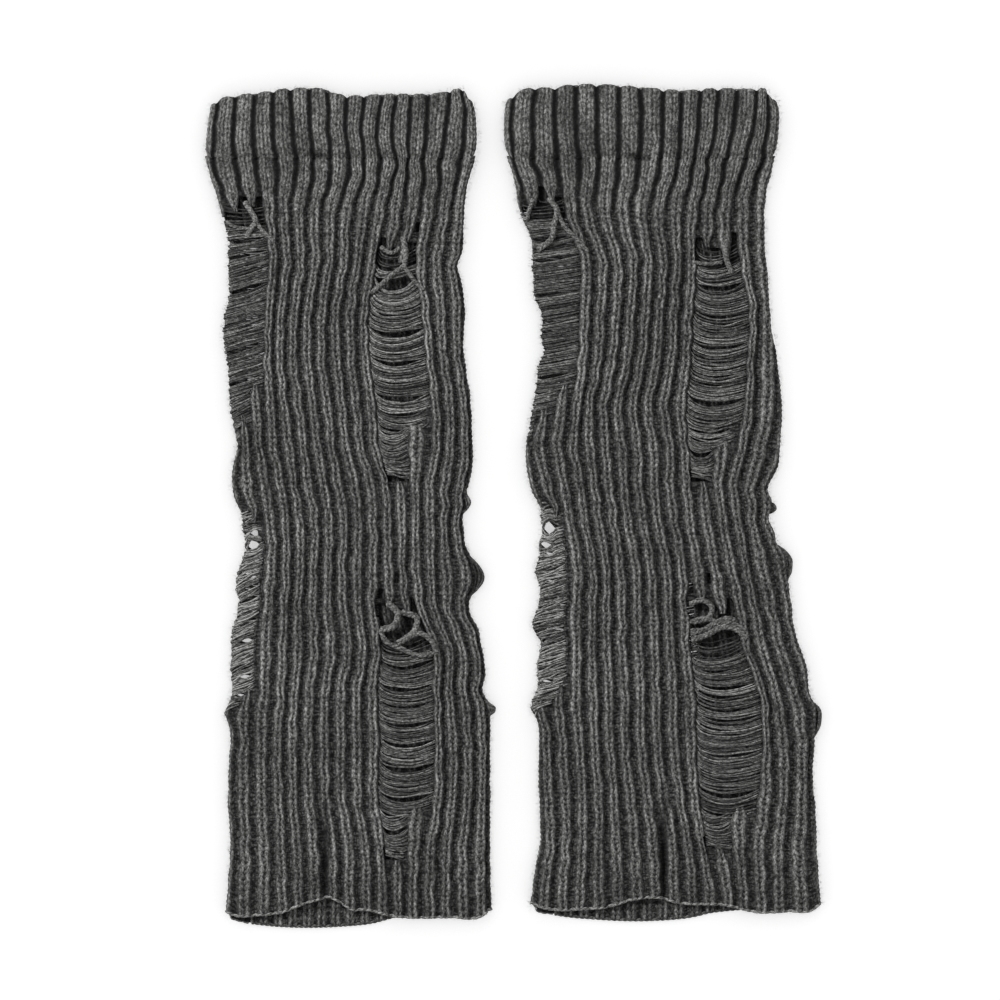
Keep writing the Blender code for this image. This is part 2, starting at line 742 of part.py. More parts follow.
def place(bm, name, leg, material):
    bmesh.ops.triangulate(bm, faces=bm.faces[:])
    bmesh.ops.recalc_face_normals(bm, faces=bm.faces[:])
    if bm.calc_volume(signed=True) < 0:
        bmesh.ops.reverse_faces(bm, faces=bm.faces[:])
    mesh = bpy.data.meshes.new(name)
    bm.to_mesh(mesh)
    bm.free()
    mesh.materials.append(material)
    piece = bpy.data.objects.new(name, mesh)
    bpy.context.scene.collection.objects.link(piece)
    piece.location = (leg.sizes["middle"][0] * MM, leg.sizes["middle"][1] * MM, 0.0)


def main():
    for obj in list(bpy.data.objects):
        bpy.data.objects.remove(obj, do_unlink=True)
    body = knit_material("charcoal rib knit", (0.072, 0.072, 0.069))
    bands = knit_material("charcoal rib band", (0.076, 0.076, 0.073))
    for name, sizes in (("left", LEFT), ("right", RIGHT)):
        leg = Leg(sizes)
        place(front_wall(leg), f"{name}_front", leg, body)
        place(back_wall(leg), f"{name}_back", leg, body)
        place(band(leg), f"{name}_band", leg, bands)


main()
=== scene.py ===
"""How a pair of ribbed knit leg warmers with dropped-stitch ladders looks, laid flat on a pale floor.

Each leg is a knitted tube. Its form is worked out on the flattened tube: flat x runs across the front,
round a side fold and on along the back, y runs up the leg, and inward is the depth below the cloth's
face. Wales, the ribs' numbers, grow from left to right. Lengths are millimetres until a mesh is made.
"""

import math

import bpy
import numpy as np
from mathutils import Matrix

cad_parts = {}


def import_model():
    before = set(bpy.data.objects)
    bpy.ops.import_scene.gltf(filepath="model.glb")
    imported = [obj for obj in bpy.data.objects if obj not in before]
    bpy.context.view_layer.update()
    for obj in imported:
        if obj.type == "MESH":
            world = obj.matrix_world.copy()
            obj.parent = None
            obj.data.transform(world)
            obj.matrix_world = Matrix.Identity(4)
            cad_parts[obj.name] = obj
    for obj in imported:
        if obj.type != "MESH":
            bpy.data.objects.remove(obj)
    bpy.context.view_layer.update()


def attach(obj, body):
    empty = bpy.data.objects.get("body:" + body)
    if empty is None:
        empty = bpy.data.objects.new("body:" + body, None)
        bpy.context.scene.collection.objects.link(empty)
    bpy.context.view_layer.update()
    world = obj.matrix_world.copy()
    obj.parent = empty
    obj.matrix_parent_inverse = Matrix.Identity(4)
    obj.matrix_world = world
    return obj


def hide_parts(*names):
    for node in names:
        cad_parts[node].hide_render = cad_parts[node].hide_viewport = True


MM = 0.001

# The knit: the height of a stitch, the tube's lower and upper ends, and the band's seam.
STITCH = 2.55
HEM_Y = -202.0
BODY_TOP_Y = 174.6
SEAM_Y = 173.4
STITCHES = round((BODY_TOP_Y - HEM_Y) / STITCH)

# How far up the hem's own line still moves the rows.
HEM_SOFTENS = 55.0

# A rib's usual width, for ripples whose waves are about as long across as along.
RIB_WIDTH = 7.0

# Half the flattened tube's height, its wall, and how deep the valleys between the ribs are.
BODY_HALF_HEIGHT = 3.3
BODY_WALL = 2.9
BODY_VALLEY = 2.3
BAND_HALF_HEIGHT = 3.95
BAND_WALL = 3.7
BAND_VALLEY = 1.9

# How far apart a rib's two columns of stitches are, as a share of the rib, and where they part further.
BODY_RIDGE = 0.34
BAND_RIDGE = 0.41
WIDENS_FROM_Y = 128.0

# How far the ribs are pulled sideways at the seam, how far below it most, and over what length.
SEAM_KINK = 1.5
KINK_BELOW = 2.0
KINK_LENGTH = 5.5

# How the front lies: its mean lift, its soft waves' height and length, and its rise towards the seam.
MEAN_LIFT = 0.45
WAVE_HEIGHT = 0.4
WAVE_LENGTH = 46.0
SEAM_RISE = 0.7
SEAM_RISE_LENGTH = 14.0

# The front's relief: how much rounder its ribs are near the band, how uneven they are, how far stitches
# sway, and how much lower and narrower drawn-in ribs and higher a ladder's edges are, as shares.
ROUND_NEAR_BAND = 0.8
UNEVEN = 0.08
SWAY = 0.42
DRAWN_LOWER = 0.25
DRAWN_NARROWER = 0.55
EDGE_HIGHER = 0.12

# How much thinner the wall is behind a rib's middle, and the relief of the back's two sides.
RIB_HOLLOW = 0.5
BACK_RELIEF = BODY_VALLEY - 0.7
BACK_INSIDE_RELIEF = 1.5

# How far the band's foot is tucked in at the seam, and the narrow slit there, both with their heights.
SEAM_TUCK = 1.25
SEAM_TUCK_HEIGHT = 5.0
SEAM_SLIT = 0.7
SEAM_SLIT_HEIGHT = 0.6

# A height at which the band's columns are placed under its top edge, and how far from its corners.
BAND_HIGH_Y = 192.0
BAND_CORNER = 2.0

# Light and dark: the front's mottle, a ladder's lighter edges, its drawn-in ends, the darker hem and its
# height; then painted shade on the front's inside and on the back's inside, and painted light on the back's
# inside towards its hem, with that hem's height.
MOTTLE = 0.10
EDGE_LIGHTER = 0.3
DRAWN_DARKER = 0.25
HEM_DARKER = 0.16
HEM_SHADE_HEIGHT = 30.0
INSIDE_SHADE = 0.15
BACK_SHADE = 0.42
BACK_HEM_PAINTED_LIGHT = 0.5
BACK_HEM_HEIGHT = 14.0

# Creases narrower than this also darken the cloth in their troughs with painted shade.
SHARP_CREASE = 5.5

# The grid's columns across one rib, and those among them that the plain inside has too.
FRONT_COLUMNS = (0.0, 0.14, 0.24, 0.34, 0.44, 0.56, 0.66, 0.76, 0.86)
FRONT_INSIDE_COLUMNS = (0.14, 0.44, 0.86)
BACK_COLUMNS = (0.0, 0.16, 0.36, 0.62, 0.84)
BAND_COLUMNS = (0.0, 0.06, 0.13, 0.22, 0.31, 0.4, 0.5, 0.6, 0.69, 0.78, 0.87, 0.94)
BAND_BACK_COLUMNS = (0.0, 0.12, 0.3, 0.5, 0.7, 0.88)
ROWS_PER_STITCH = 4
BACK_ROWS_PER_STITCH = 2
BACK_RIBS = 15
BAND_STITCHES = 13

# How far beyond a ladder its ribs are drawn in, over what length a ladder's ends fade, the width of the
# raised column at its edge, in ribs, and the width of openings too narrow to draw anything in.
DRAWN_LENGTH = 9.0
END_FADES = 6.0
EDGE_COLUMN = 0.13
NARROW = 0.3

# The threads: how many to a stitch in a ladder, how many hang behind its top, how far apart they are on
# the back, how many bulge out at one place, and how many fibres stand out round each leg.
THREADS_PER_STITCH = 4
HOLLOW_THREADS = 5
BACK_THREAD_PITCH = 0.55
BULGE_THREADS = 14
FIBRES = 1500

# The radii of the threads, least and most, and of the cords at the hem.
LADDER_RADII = (0.26, 0.42)
BACK_RADII = (0.34, 0.46)
BULGE_RADII = (0.4, 0.6)
FIBRE_RADII = (0.03, 0.045)
FRONT_CORD_RADIUS = 0.55
BACK_CORD_RADIUS = 0.6

# The length of thread that goes once across the map for its baked look.
BAKED_LENGTH = 120.0

# Colours, and the stage in metres: the world's and the floor's light, the floor, the key light and the
# camera, whose lens and sensor are in millimetres.
# The knit's darkest colour, near black, is painted shade in its valleys and holes as much as the yarn's
# darkest fibres.
DARK_YARN_AND_SHADE = (0.0035, 0.0035, 0.0035)
LIGHT_YARN = (0.330, 0.332, 0.322)
PALE_FLOOR = (0.97, 0.97, 0.97)
WHITE = (1.0, 1.0, 1.0)
WORLD_LIGHT = 0.6
FLOOR_GLOW = 0.46
FLOOR_SIZE = 6.0
FLOOR_BELOW = 0.0002
KEY_PLACE = (-1.5, 1.2, 1.7)
KEY_WATTS = 75.0
KEY_SIZE = 0.7
CAMERA_PLACE = (-0.0067, 0.0027, 2.006)
CAMERA_LENS = 144.0
CAMERA_SENSOR = 36.0

# The columns of each leg's table of ribs: a height, then the numbers of the wales placed there.
RIB_COLUMNS = ("y", 3, 5, 8, 10, 11, 12, 13, 14)

# Each leg, on the flattened tube: x to the right and y up the leg, both from its middle, which is given
# first, as the pair's x and y there.
LEFT = {
    "middle": (-79.2, 0.2),
    # y, the left fold's x, the right fold's x
    "sides": (
        (204, -73, 58), (200, -72.7, 60), (190, -74, 61.6), (182, -74.8, 61.8), (173, -75, 60.8),
        (165, -73, 58.5), (157.5, -70.5, 56.5), (150, -68.5, 55.5), (142.5, -66.8, 55),
        (132.5, -63.8, 54.8), (125, -64, 53.5), (120, -64, 51.8), (112.5, -63.5, 53.3), (102.5, -64, 55),
        (95, -65.8, 55.3), (80, -65.8, 54.5), (67.5, -64, 55.8), (52.5, -63.3, 58), (37.5, -60.8, 58.8),
        (30, -59.5, 59), (20, -61.3, 59), (10, -62, 57), (5.5, -61, 55.5), (0, -59.5, 56.5),
        (-4.5, -57.5, 54.5), (-12.5, -56.8, 54.5), (-21, -55, 55.8), (-27.5, -56.8, 58.8),
        (-35, -59.5, 61), (-42.5, -59.8, 60), (-48, -58.5, 57.5), (-53, -59, 57.5), (-61.5, -61.8, 61.5),
        (-72.5, -62.3, 63.8), (-85, -62.5, 65.5), (-93, -62, 64), (-99, -63.5, 67), (-104, -65.3, 67.8),
        (-112.5, -63, 67.8), (-130, -63.5, 67.8), (-150, -64, 67.8), (-167.5, -62.8, 67.8),
        (-190, -64, 68), (-206, -65.3, 68.8),
    ),
    # y, then the x of the wales in RIB_COLUMNS
    "ribs": (
        (202.5, -50, -32, -4, 13.5, 20.5, 28, 36.5, 47.5),
        (187.5, -51, -31, -4.5, 11, 18.5, 27, 35.5, 45.5),
        (170, -49.5, -29.5, -2.5, 12.5, 19.5, 26.5, 35, 43.5),
        (145, -46, -32, -8.5, 8, 16, 24, 32.5, 40.5), (122.5, -44, -30.5, -9, 5, 12.5, 20.5, 29, 37),
        (97.5, -46, -33.5, -13, 1.5, 8, 20.5, 32.5, 38.5),
        (72.5, -46.5, -34.5, -13, 2, 8.5, 21.5, 34.5, 41),
        (47.5, -45.5, -31.5, -10, 4.5, 12, 24.5, 37.5, 44), (27.5, -44.5, -29, -8, 6.5, 13.5, 25, 37, 44),
        (12.5, -41, -27.5, -5, 11.5, 18, 26.5, 34, 41.5), (-7.5, -38.5, -24, -2, 12.5, 20, 27, 34, 41.5),
        (-32.5, -37.5, -24, -3, 13, 20.5, 27, 34.5, 41.5),
        (-52.5, -39, -25, -2, 12.5, 22.5, 30, 36.5, 43), (-72.5, -40, -24.5, 0.5, 14, 25, 38, 44, 50.5),
        (-92.5, -40.5, -26.5, -3, 12.5, 24.5, 38, 44, 50.5),
        (-117.5, -42.5, -27.5, -3, 13.5, 25.5, 39, 45, 53),
        (-147.5, -42, -27, -2.5, 13, 24.5, 38, 45, 52.5), (-172.5, -41, -25, 1.5, 16.5, 25, 34, 42, 49.5),
        (-192.5, -40.5, -24, 1.5, 18, 25, 33, 41.5, 49.5),
    ),
    # x, and the y of the edge there; the same for both hems
    "band_top": (
        (-72.5, 200.5), (-69, 203.3), (-62, 204.8), (-46, 207), (-28, 209), (-16, 208.5), (-10, 206.3),
        (16, 206), (40, 206.5), (50, 208.3), (57, 207.3), (60.5, 201.5),
    ),
    "front_hem": (
        (-65, -203.5), (-61, -205), (-49, -205), (-35, -203), (-27.5, -200), (-18, -197), (-13, -196),
        (-7.5, -198.5), (-2.5, -201.8), (6, -202.3), (17, -205), (49, -206), (62, -206), (68, -202.5),
    ),
    "back_hem": (
        (-65, -203.5), (-61, -207), (-56, -208.5), (-47, -209.8), (-29, -211), (-7.5, -210.5), (8, -209),
        (22, -205.5), (35, -204), (62, -204.5), (68, -202),
    ),
    # The first and last wale of the front's cloth, past both folds
    "front_ends": (-1, 18),
    # y, the wale on the left fold, the wale on the right fold
    "fold_wales": ((206, 0.4, 15.9), (100, 0.4, 16.2), (-50, 0.4, 16.3), (-206, 0.4, 16.3)),
    # Soft creases of the front: x and y of both ends, half width, height
    "creases": (
        (-62, 172, -20, 168, 5, -0.8), (-23.5, 174.8, -13.5, 173.8, 1.6, -2.3),
        (-14, 181, -11, 168, 2.6, 1), (-30, 160, 10, 150, 9, 0.7), (30, 165, 56, 152, 6, -0.8),
        (-45, 12, 40, -2, 10, -0.9), (-14.4, -150, -13.8, -204, 2.2, -2.6),
        (-11.2, -150, -9.6, -202, 1.9, 1.4), (-24, -160, -22, -196, 6, 1), (0, -120, 5, -190, 9, 0.8),
        (-40, 60, -10, 20, 12, 0.6), (45, -20, 56, -90, 8, 0.6),
    ),
    # The back's ladders: first rib, last rib, top y, bottom y
    "back_openings": (
        (0, 1.86, 139, 40), (0, 1.86, -4, -104), (4.86, 7.14, 150, 62), (6.86, 9.14, -30, -128),
        (13.86, 15.1, 8, -102),
    ),
    # Ladders: openings as (first wale, last wale, top y, bottom y), how light their threads are (on the
    # fold's
    # ladder much lighter: painted light, as if lit through from the floor behind), where these start, how far
    # their left ends stand above the right ones, how far they sag, and where they part, as (y, size)
    "ladders": (
        {
            "openings": (
                (-1.1, 0.14, 138, 32), (0.14, 0.86, 143, 32), (0.86, 1.14, 146, 44),
                (1.14, 1.86, 147, 44), (1.86, 2.14, 155, 44), (2.14, 2.86, 149, 61),
                (2.86, 3.14, 153, 61),
            ),
            "shade": 0.87, "threads_from": 140, "rise": -8, "sag": 1.5,
            "partings": (
                (131.5, 2.4), (123.5, 2), (106.5, 2.4), (90, 1), (76, 2.4), (60, 1.8), (53.5, 1.8),
            ),
        },
        {
            "openings": (
                (10.86, 11.86, 126.5, 13), (10.86, 11.14, 133, 126), (11.86, 12.14, 128, 13),
                (12.14, 12.44, 121.5, 41), (12.44, 12.86, 131, 41), (12.86, 13.14, 131, 50),
                (12.86, 13.14, 140.5, 136),
            ),
            "shade": 1.09, "threads_from": 121, "rise": 2.5, "sag": 5,
            "partings": ((110, 6), (84.5, 2.4), (70.5, 2), (52.5, 2.6), (44.5, 1.4), (37, 1.2)),
        },
        {
            "openings": (
                (-1.1, 0.14, -4, -106), (0.14, 1.14, -4, -98), (1.14, 1.44, -6, -96),
                (1.44, 1.86, -9, -93),
            ),
            # Painted light: the fold's threads are much lighter, as if lit through from the floor.
            "shade": 1.8, "tangle": 1, "threads_from": -2.5, "rise": -10, "sag": 1,
            "partings": ((-28, 0.8), (-46, 1), (-57, 0.8), (-77, 1)),
        },
        {
            "openings": (
                (9.86, 10.86, -50, -177), (9.86, 10.14, -41, -46), (10.86, 11.14, -35, -40),
                (10.86, 11.14, -51, -172), (11.14, 11.86, -55, -151), (11.86, 12.14, -46, -151),
            ),
            "shade": 0.92, "threads_from": -71, "rise": 2.5, "sag": 5,
            "partings": (
                (-81.5, 2), (-93, 1.6), (-101.5, 1.4), (-110.5, 1.6), (-121, 2), (-133.5, 2.2),
                (-147.5, 2), (-164, 2),
            ),
        },
    ),
    # Where one sees through between the left fold's threads: x, y, half width, half height
    "see_through": (
        (-49.9, -14.5, 2, 1.9), (-51.2, -19.8, 2.6, 2.2), (-54, -34.2, 1.6, 0.8),
        (-51.3, -35.9, 1.8, 0.8), (-54, -67.8, 3.2, 1.1), (-55.1, -85.8, 2.8, 1.1),
        (-57.5, -95, 2.2, 0.8),
    ),
    # Where the back's loose threads bulge past the right fold: top, bottom, how far out, shade
    "bulges": ((10, -6, 1.3, 0.9), (-24, -47, 3.6, 0.6), (-98, -106, 2.6, 0.9)),
    # Loose loops and threads: radius, shade, then x, y and depth below the face along each
    "loops": (
        (0.9, 0.95, ((-55, 151.5, 0.6), (-51.5, 146, -0.6), (-49.5, 142, -0.6), (-52, 138, 0.2),
                     (-54, 134, 0.9))),
        (0.7, 0.9, ((-49.5, 141.5, -0.2), (-45.5, 136.5, -0.3), (-40.5, 132, 0.8))),
        (0.6, 0.8, ((-64.5, 141.5, 0.8), (-59.5, 139, 0.2), (-52.5, 138, 0.8))),
        (0.9, 0.95, ((24, 134, 0.4), (25.5, 126.5, -0.6), (24.5, 118.5, -0.2))),
        (0.75, 0.9, ((24.5, 119.5, -0.2), (18.5, 115, -0.6), (13.5, 110.5, -0.2), (8, 106, 0.9))),
        (0.75, 0.85, ((24.5, 119, -0.2), (27, 116, -0.6), (29.5, 112.5, 0), (34.5, 107.5, 0.9))),
        (0.7, 0.9, ((13, 129, 0.6), (18, 126, -0.3), (22.5, 128.5, 0.5))),
        (1.1, 0.85, ((16.5, -49, 0.2), (21.5, -54, -0.7), (20, -60, -0.7), (13, -62.5, 0.6))),
        (1, 0.85, ((23.5, -53.5, 0.3), (31, -56.5, -0.6), (30.5, -61.5, -0.8), (25, -67, -0.6),
                   (21.5, -69, 0.4))),
        (0.7, 0.8, ((19.5, -52.5, 0.4), (23, -54, -0.2), (26.5, -54, 0.4))),
        (0.9, 0.85, ((24.5, -67, -0.2), (32.5, -64, -0.7), (38.5, -68, -0.3), (41.5, -74, 0.8))),
        (0.8, 0.8, ((12.5, -62, 0.8), (15.5, -68, -0.3), (23, -71.5, -0.6), (31.5, -75, 0),
                    (41.5, -73.5, 0.8))),
        (0.6, 0.7, ((14, -65.5, 0.8), (19, -70.5, 0.3), (26, -73.5, 0.4))),
    ),
}

RIGHT = {
    "middle": (73.3, 0.2),
    "sides": (
        (206, -76, 57), (200, -77.5, 59.8), (190, -78.3, 60.3), (182, -78, 59.5), (173, -76.3, 57.5),
        (165, -73.8, 55.8), (157.5, -72.3, 54), (147.5, -71, 52.8), (141.5, -68.5, 52.8),
        (135, -65.3, 52.8), (127.5, -64.5, 53), (115, -64, 54.5), (103.5, -63, 55.3), (97, -60, 55.8),
        (82.5, -59.5, 58), (77, -58.3, 59), (71.5, -60.8, 59.5), (60, -62.3, 60.5), (45, -64.8, 61.5),
        (32.5, -67.3, 60.8), (22.5, -67.3, 60), (15, -66.3, 57.8), (7.5, -64.5, 54.5), (2.5, -62.5, 56.8),
        (-1.5, -60.3, 56.5), (-6.5, -60, 55.3), (-14, -59.3, 58.3), (-19.5, -61, 59.5),
        (-22.5, -60.5, 62), (-34, -62.8, 64), (-41, -60.5, 65.3), (-50, -61.3, 66.5), (-60, -64.3, 67.5),
        (-68.5, -60.3, 69.5), (-80, -62, 73.5), (-92.5, -62, 75), (-97.5, -64.3, 76.5),
        (-100.5, -64.8, 78.3), (-108.5, -61.8, 78.3), (-122.5, -60.8, 77.5), (-135, -61, 76.8),
        (-155, -60.3, 78.3), (-171.5, -60.5, 79), (-180, -62.5, 79.5), (-199, -65, 81),
    ),
    "ribs": (
        (202.5, -52.5, -31.5, 1.5, 20, 29, 38.5, 48.5, 54),
        (187.5, -52.5, -31.5, 1.5, 19, 27.5, 36.5, 46.5, 54), (170, -50.5, -31, 0, 17, 24.5, 33, 41, 49),
        (145, -48, -32, -5, 12, 20, 28, 37, 46), (122.5, -41, -25, -2, 12.5, 19.5, 28.5, 38.5, 46.5),
        (97.5, -41.5, -25.5, -3.5, 10.5, 18, 31, 44, 49.5),
        (72.5, -42, -27.5, -5.5, 9.5, 16.5, 29, 42.5, 48.5), (47.5, -45, -32, -10, 6, 14.5, 27, 41, 48),
        (27.5, -47, -31, -7, 9, 15.5, 25.5, 37, 44.5), (12.5, -44, -29.5, -7, 9, 17.5, 25.5, 33, 41),
        (-7.5, -41.5, -27, -5, 11, 19, 27.5, 35.5, 42.5),
        (-32.5, -36.5, -23.5, -0.5, 15, 23.5, 32, 40, 46.5),
        (-52.5, -37.5, -23, 0.5, 16, 26, 36.5, 44, 51), (-72.5, -37.5, -23, 1.5, 16.5, 28, 41, 47, 55.5),
        (-92.5, -37.5, -21.5, 2, 19, 32, 48, 54, 61.5),
        (-117.5, -36.5, -21.5, 2.5, 19.5, 33.5, 50.5, 56.5, 66),
        (-147.5, -34.5, -19, 6.5, 21, 33, 47.5, 57.5, 66),
        (-172.5, -35, -17.5, 11, 25, 35, 44.5, 54.5, 63.5),
        (-192.5, -35.5, -16, 11.5, 29.5, 38, 46, 55, 64.5),
    ),
    "band_top": (
        (-77, 203), (-74.5, 206), (-70, 208), (-52, 209.3), (-45, 210.4), (-26, 210.5), (-8, 209.3),
        (14, 207.8), (24, 208.7), (43, 208.4), (54, 207.5), (59, 202.5),
    ),
    "front_hem": (
        (-65, -199), (-57.5, -201.5), (-40, -202), (-26, -200.8), (-14, -197.3), (0, -196.3), (8, -198.5),
        (33, -200), (49, -203.5), (64, -203), (78, -201.5), (81, -199),
    ),
    "back_hem": (
        (-65, -199), (-62, -202.5), (-54, -204.5), (-31, -207), (-3, -207.6), (18, -205.5), (25, -203.8),
        (33, -202.8), (45, -201.8), (78, -200), (81, -198.5),
    ),
    "front_ends": (-2, 17),
    "fold_wales": (
        (206, 0.5, 15), (170, 0.5, 14.8), (102.5, 0.5, 14.9), (57.5, 0.5, 15.3), (27.5, 0.45, 15.6),
        (2.5, 0.2, 16), (-42.5, 0, 15.9), (-87.5, -0.1, 15.7), (-117.5, -0.2, 15.4), (-190, -0.5, 15.5),
    ),
    "creases": (
        (-60, 172, -35, 168, 5, -0.8), (-16, 174, -5, 173, 1.7, -1.6), (-3, 181, 1, 168, 2.6, 1),
        (-25, 162, 20, 150, 9, 0.7), (35, 168, 55, 152, 6, -0.8), (-60, 0, 30, 6, 10, -0.9),
        (3, -140, 2, -201, 2.2, -2.5), (6.2, -140, 6, -199, 1.9, 1.3), (-8, -150, -5, -195, 6, 1),
        (-30, 70, 0, 30, 12, 0.6), (50, -20, 64, -90, 8, 0.6), (-55, 40, -45, 10, 7, 0.9),
    ),
    "back_openings": (
        (0, 1.86, 143, 40), (0, 1.86, -1, -104), (4.86, 7.14, 150, 62), (6.86, 9.14, -30, -128),
        (13.86, 15.1, 8, -102),
    ),
    "ladders": (
        {
            "openings": (
                (-2.1, -0.14, 142, 34), (-0.14, 0.86, 147, 34), (0.86, 1.14, 150, 47),
                (1.14, 1.86, 148, 47), (1.86, 2.14, 160, 47), (2.14, 2.86, 152, 60),
                (2.86, 3.14, 154, 60),
            ),
            "shade": 0.87, "threads_from": 144, "rise": -4, "sag": 2,
            "partings": ((132, 2.8), (121, 2.2), (104, 1.8), (86, 1.2), (63, 2.6), (55, 1.8)),
        },
        {
            "openings": (
                (10.86, 11.86, 128, 12), (10.86, 11.14, 133, 127), (11.86, 12.14, 130, 12),
                (12.14, 12.86, 123.5, 33), (12.86, 13.14, 136, 45),
            ),
            "shade": 1.09, "threads_from": 122, "rise": 2.5, "sag": 5,
            "partings": ((108, 2.6), (94, 1), (78, 1.4), (50, 2.6), (36, 1), (24, 2)),
        },
        {
            "openings": (
                (-2.1, 0.14, -1, -105), (0.14, 1.14, -1, -98), (1.14, 1.44, -4, -94),
                (1.44, 1.86, -7, -91),
            ),
            # Painted light: the fold's threads are much lighter, as if lit through from the floor.
            "shade": 1.8, "tangle": 1, "threads_from": 0.5, "rise": -8, "sag": 1,
            "partings": ((-32, 0.8), (-52, 1), (-68, 1), (-80, 0.8)),
        },
        {
            "openings": (
                (9.86, 10.86, -49, -172), (9.86, 10.14, -40, -44), (10.86, 11.14, -34, -39),
                (10.86, 11.14, -51, -172), (11.14, 11.86, -54, -151), (11.86, 12.14, -46, -151),
            ),
            "shade": 0.92, "threads_from": -73, "rise": 2.5, "sag": 5,
            "partings": ((-70, 1.6), (-92, 1.6), (-108, 1.6), (-126, 1.8), (-146, 2)),
        },
    ),
    "see_through": (
        (-55.4, -11.4, 2, 3.2), (-57.6, -20, 2.8, 1.6), (-55.5, -24.2, 1.6, 0.8), (-55, -38, 1.6, 0.7),
        (-57, -88, 2.2, 0.8),
    ),
    "bulges": ((1, -5, 2, 0.9), (-20, -40, 2.4, 0.7), (-98, -118, 2.2, 0.7)),
    "loops": (
        (0.95, 0.95, ((-55.5, 153.5, 0.6), (-51.5, 147.5, -0.5), (-53, 140, -0.7), (-54, 133.5, -0.3),
                      (-61, 127.5, 0.8))),
        (0.75, 0.9, ((-51.5, 147, -0.2), (-47.5, 139, -0.5), (-41, 132.5, -0.3), (-36, 126.5, 0.8))),
        (0.7, 0.85, ((-66.8, 142, 1.6), (-65.5, 147, 0.2), (-63.5, 153, 0.4))),
        (0.9, 0.9, ((33, 132.5, 0.4), (32.5, 127.5, -0.5), (33.5, 122, -0.4), (36, 116, 0.5))),
        (0.6, 0.8, ((17, 121.5, 0.8), (23, 120.5, 0.2), (31, 121.5, 0.3))),
        (0.9, 0.85, ((15, -49.5, 0.4), (21, -47.5, -0.6), (26, -51, -0.6), (24.5, -56, -0.3),
                     (17, -58.5, 0.7))),
        (0.75, 0.8, ((15, -58.5, 0.8), (22, -56.5, -0.2), (27.5, -58.5, -0.5), (24, -61.5, 0),
                     (15.5, -63, 0.8))),
        (0.8, 0.8, ((21, -63, 0.6), (28, -58.5, -0.4), (33.5, -56.5, -0.4), (37.5, -57.5, 0.5))),
        (1, 0.85, ((16, -67.5, 0.8), (24, -64.5, -0.5), (30.5, -61, -0.8), (37, -61.5, -0.6),
                   (43.5, -66.5, 0.8))),
        (0.8, 0.8, ((15.5, -64.5, 0.8), (23, -62, -0.2), (30, -58.5, -0.5), (36, -59, 0),
                    (43, -63, 0.8))),
    ),
}

# ---------------------------------------------------------------- form


def curve(rows, column):
    """A smooth function of a table's first column, for arrays."""
    places, values = np.array(sorted((row[0], row[column]) for row in rows), float).T
    slopes = np.gradient(values, places)

    def value(place):
        place = np.clip(place, places[0], places[-1])
        index = np.clip(np.searchsorted(places, place, side="right") - 1, 0, len(places) - 2)
        span = places[index + 1] - places[index]
        t = (place - places[index]) / span
        start = values[index] * (1 + 2 * t) * (1 - t) ** 2 + slopes[index] * span * t * (1 - t) ** 2
        end = values[index + 1] * t * t * (3 - 2 * t) - slopes[index + 1] * span * t * t * (1 - t)
        return start + end

    return value


def ripple(x, y, seed, size):
    """A soft random surface, about -1 to 1, whose waves are about this long."""
    random = np.random.default_rng(seed)
    total = np.zeros(np.broadcast(x, y).shape)
    for _ in range(6):
        angle = random.uniform(0, 2 * math.pi)
        wave = 2 * math.pi / (size * random.uniform(0.7, 1.6))
        total += np.sin(wave * (x * math.cos(angle) + y * math.sin(angle)) + random.uniform(0, 6.3))
    return total / 3.0


def fade(value):
    """A smooth step from 0 to 1 while the value goes from 0 to 1."""
    value = np.clip(value, 0.0, 1.0)
    return value * value * (3 - 2 * value)


def bell(value, width):
    """1 where the value is 0, and softly down to 0 beyond this width."""
    return np.exp(-((value / width) ** 2))


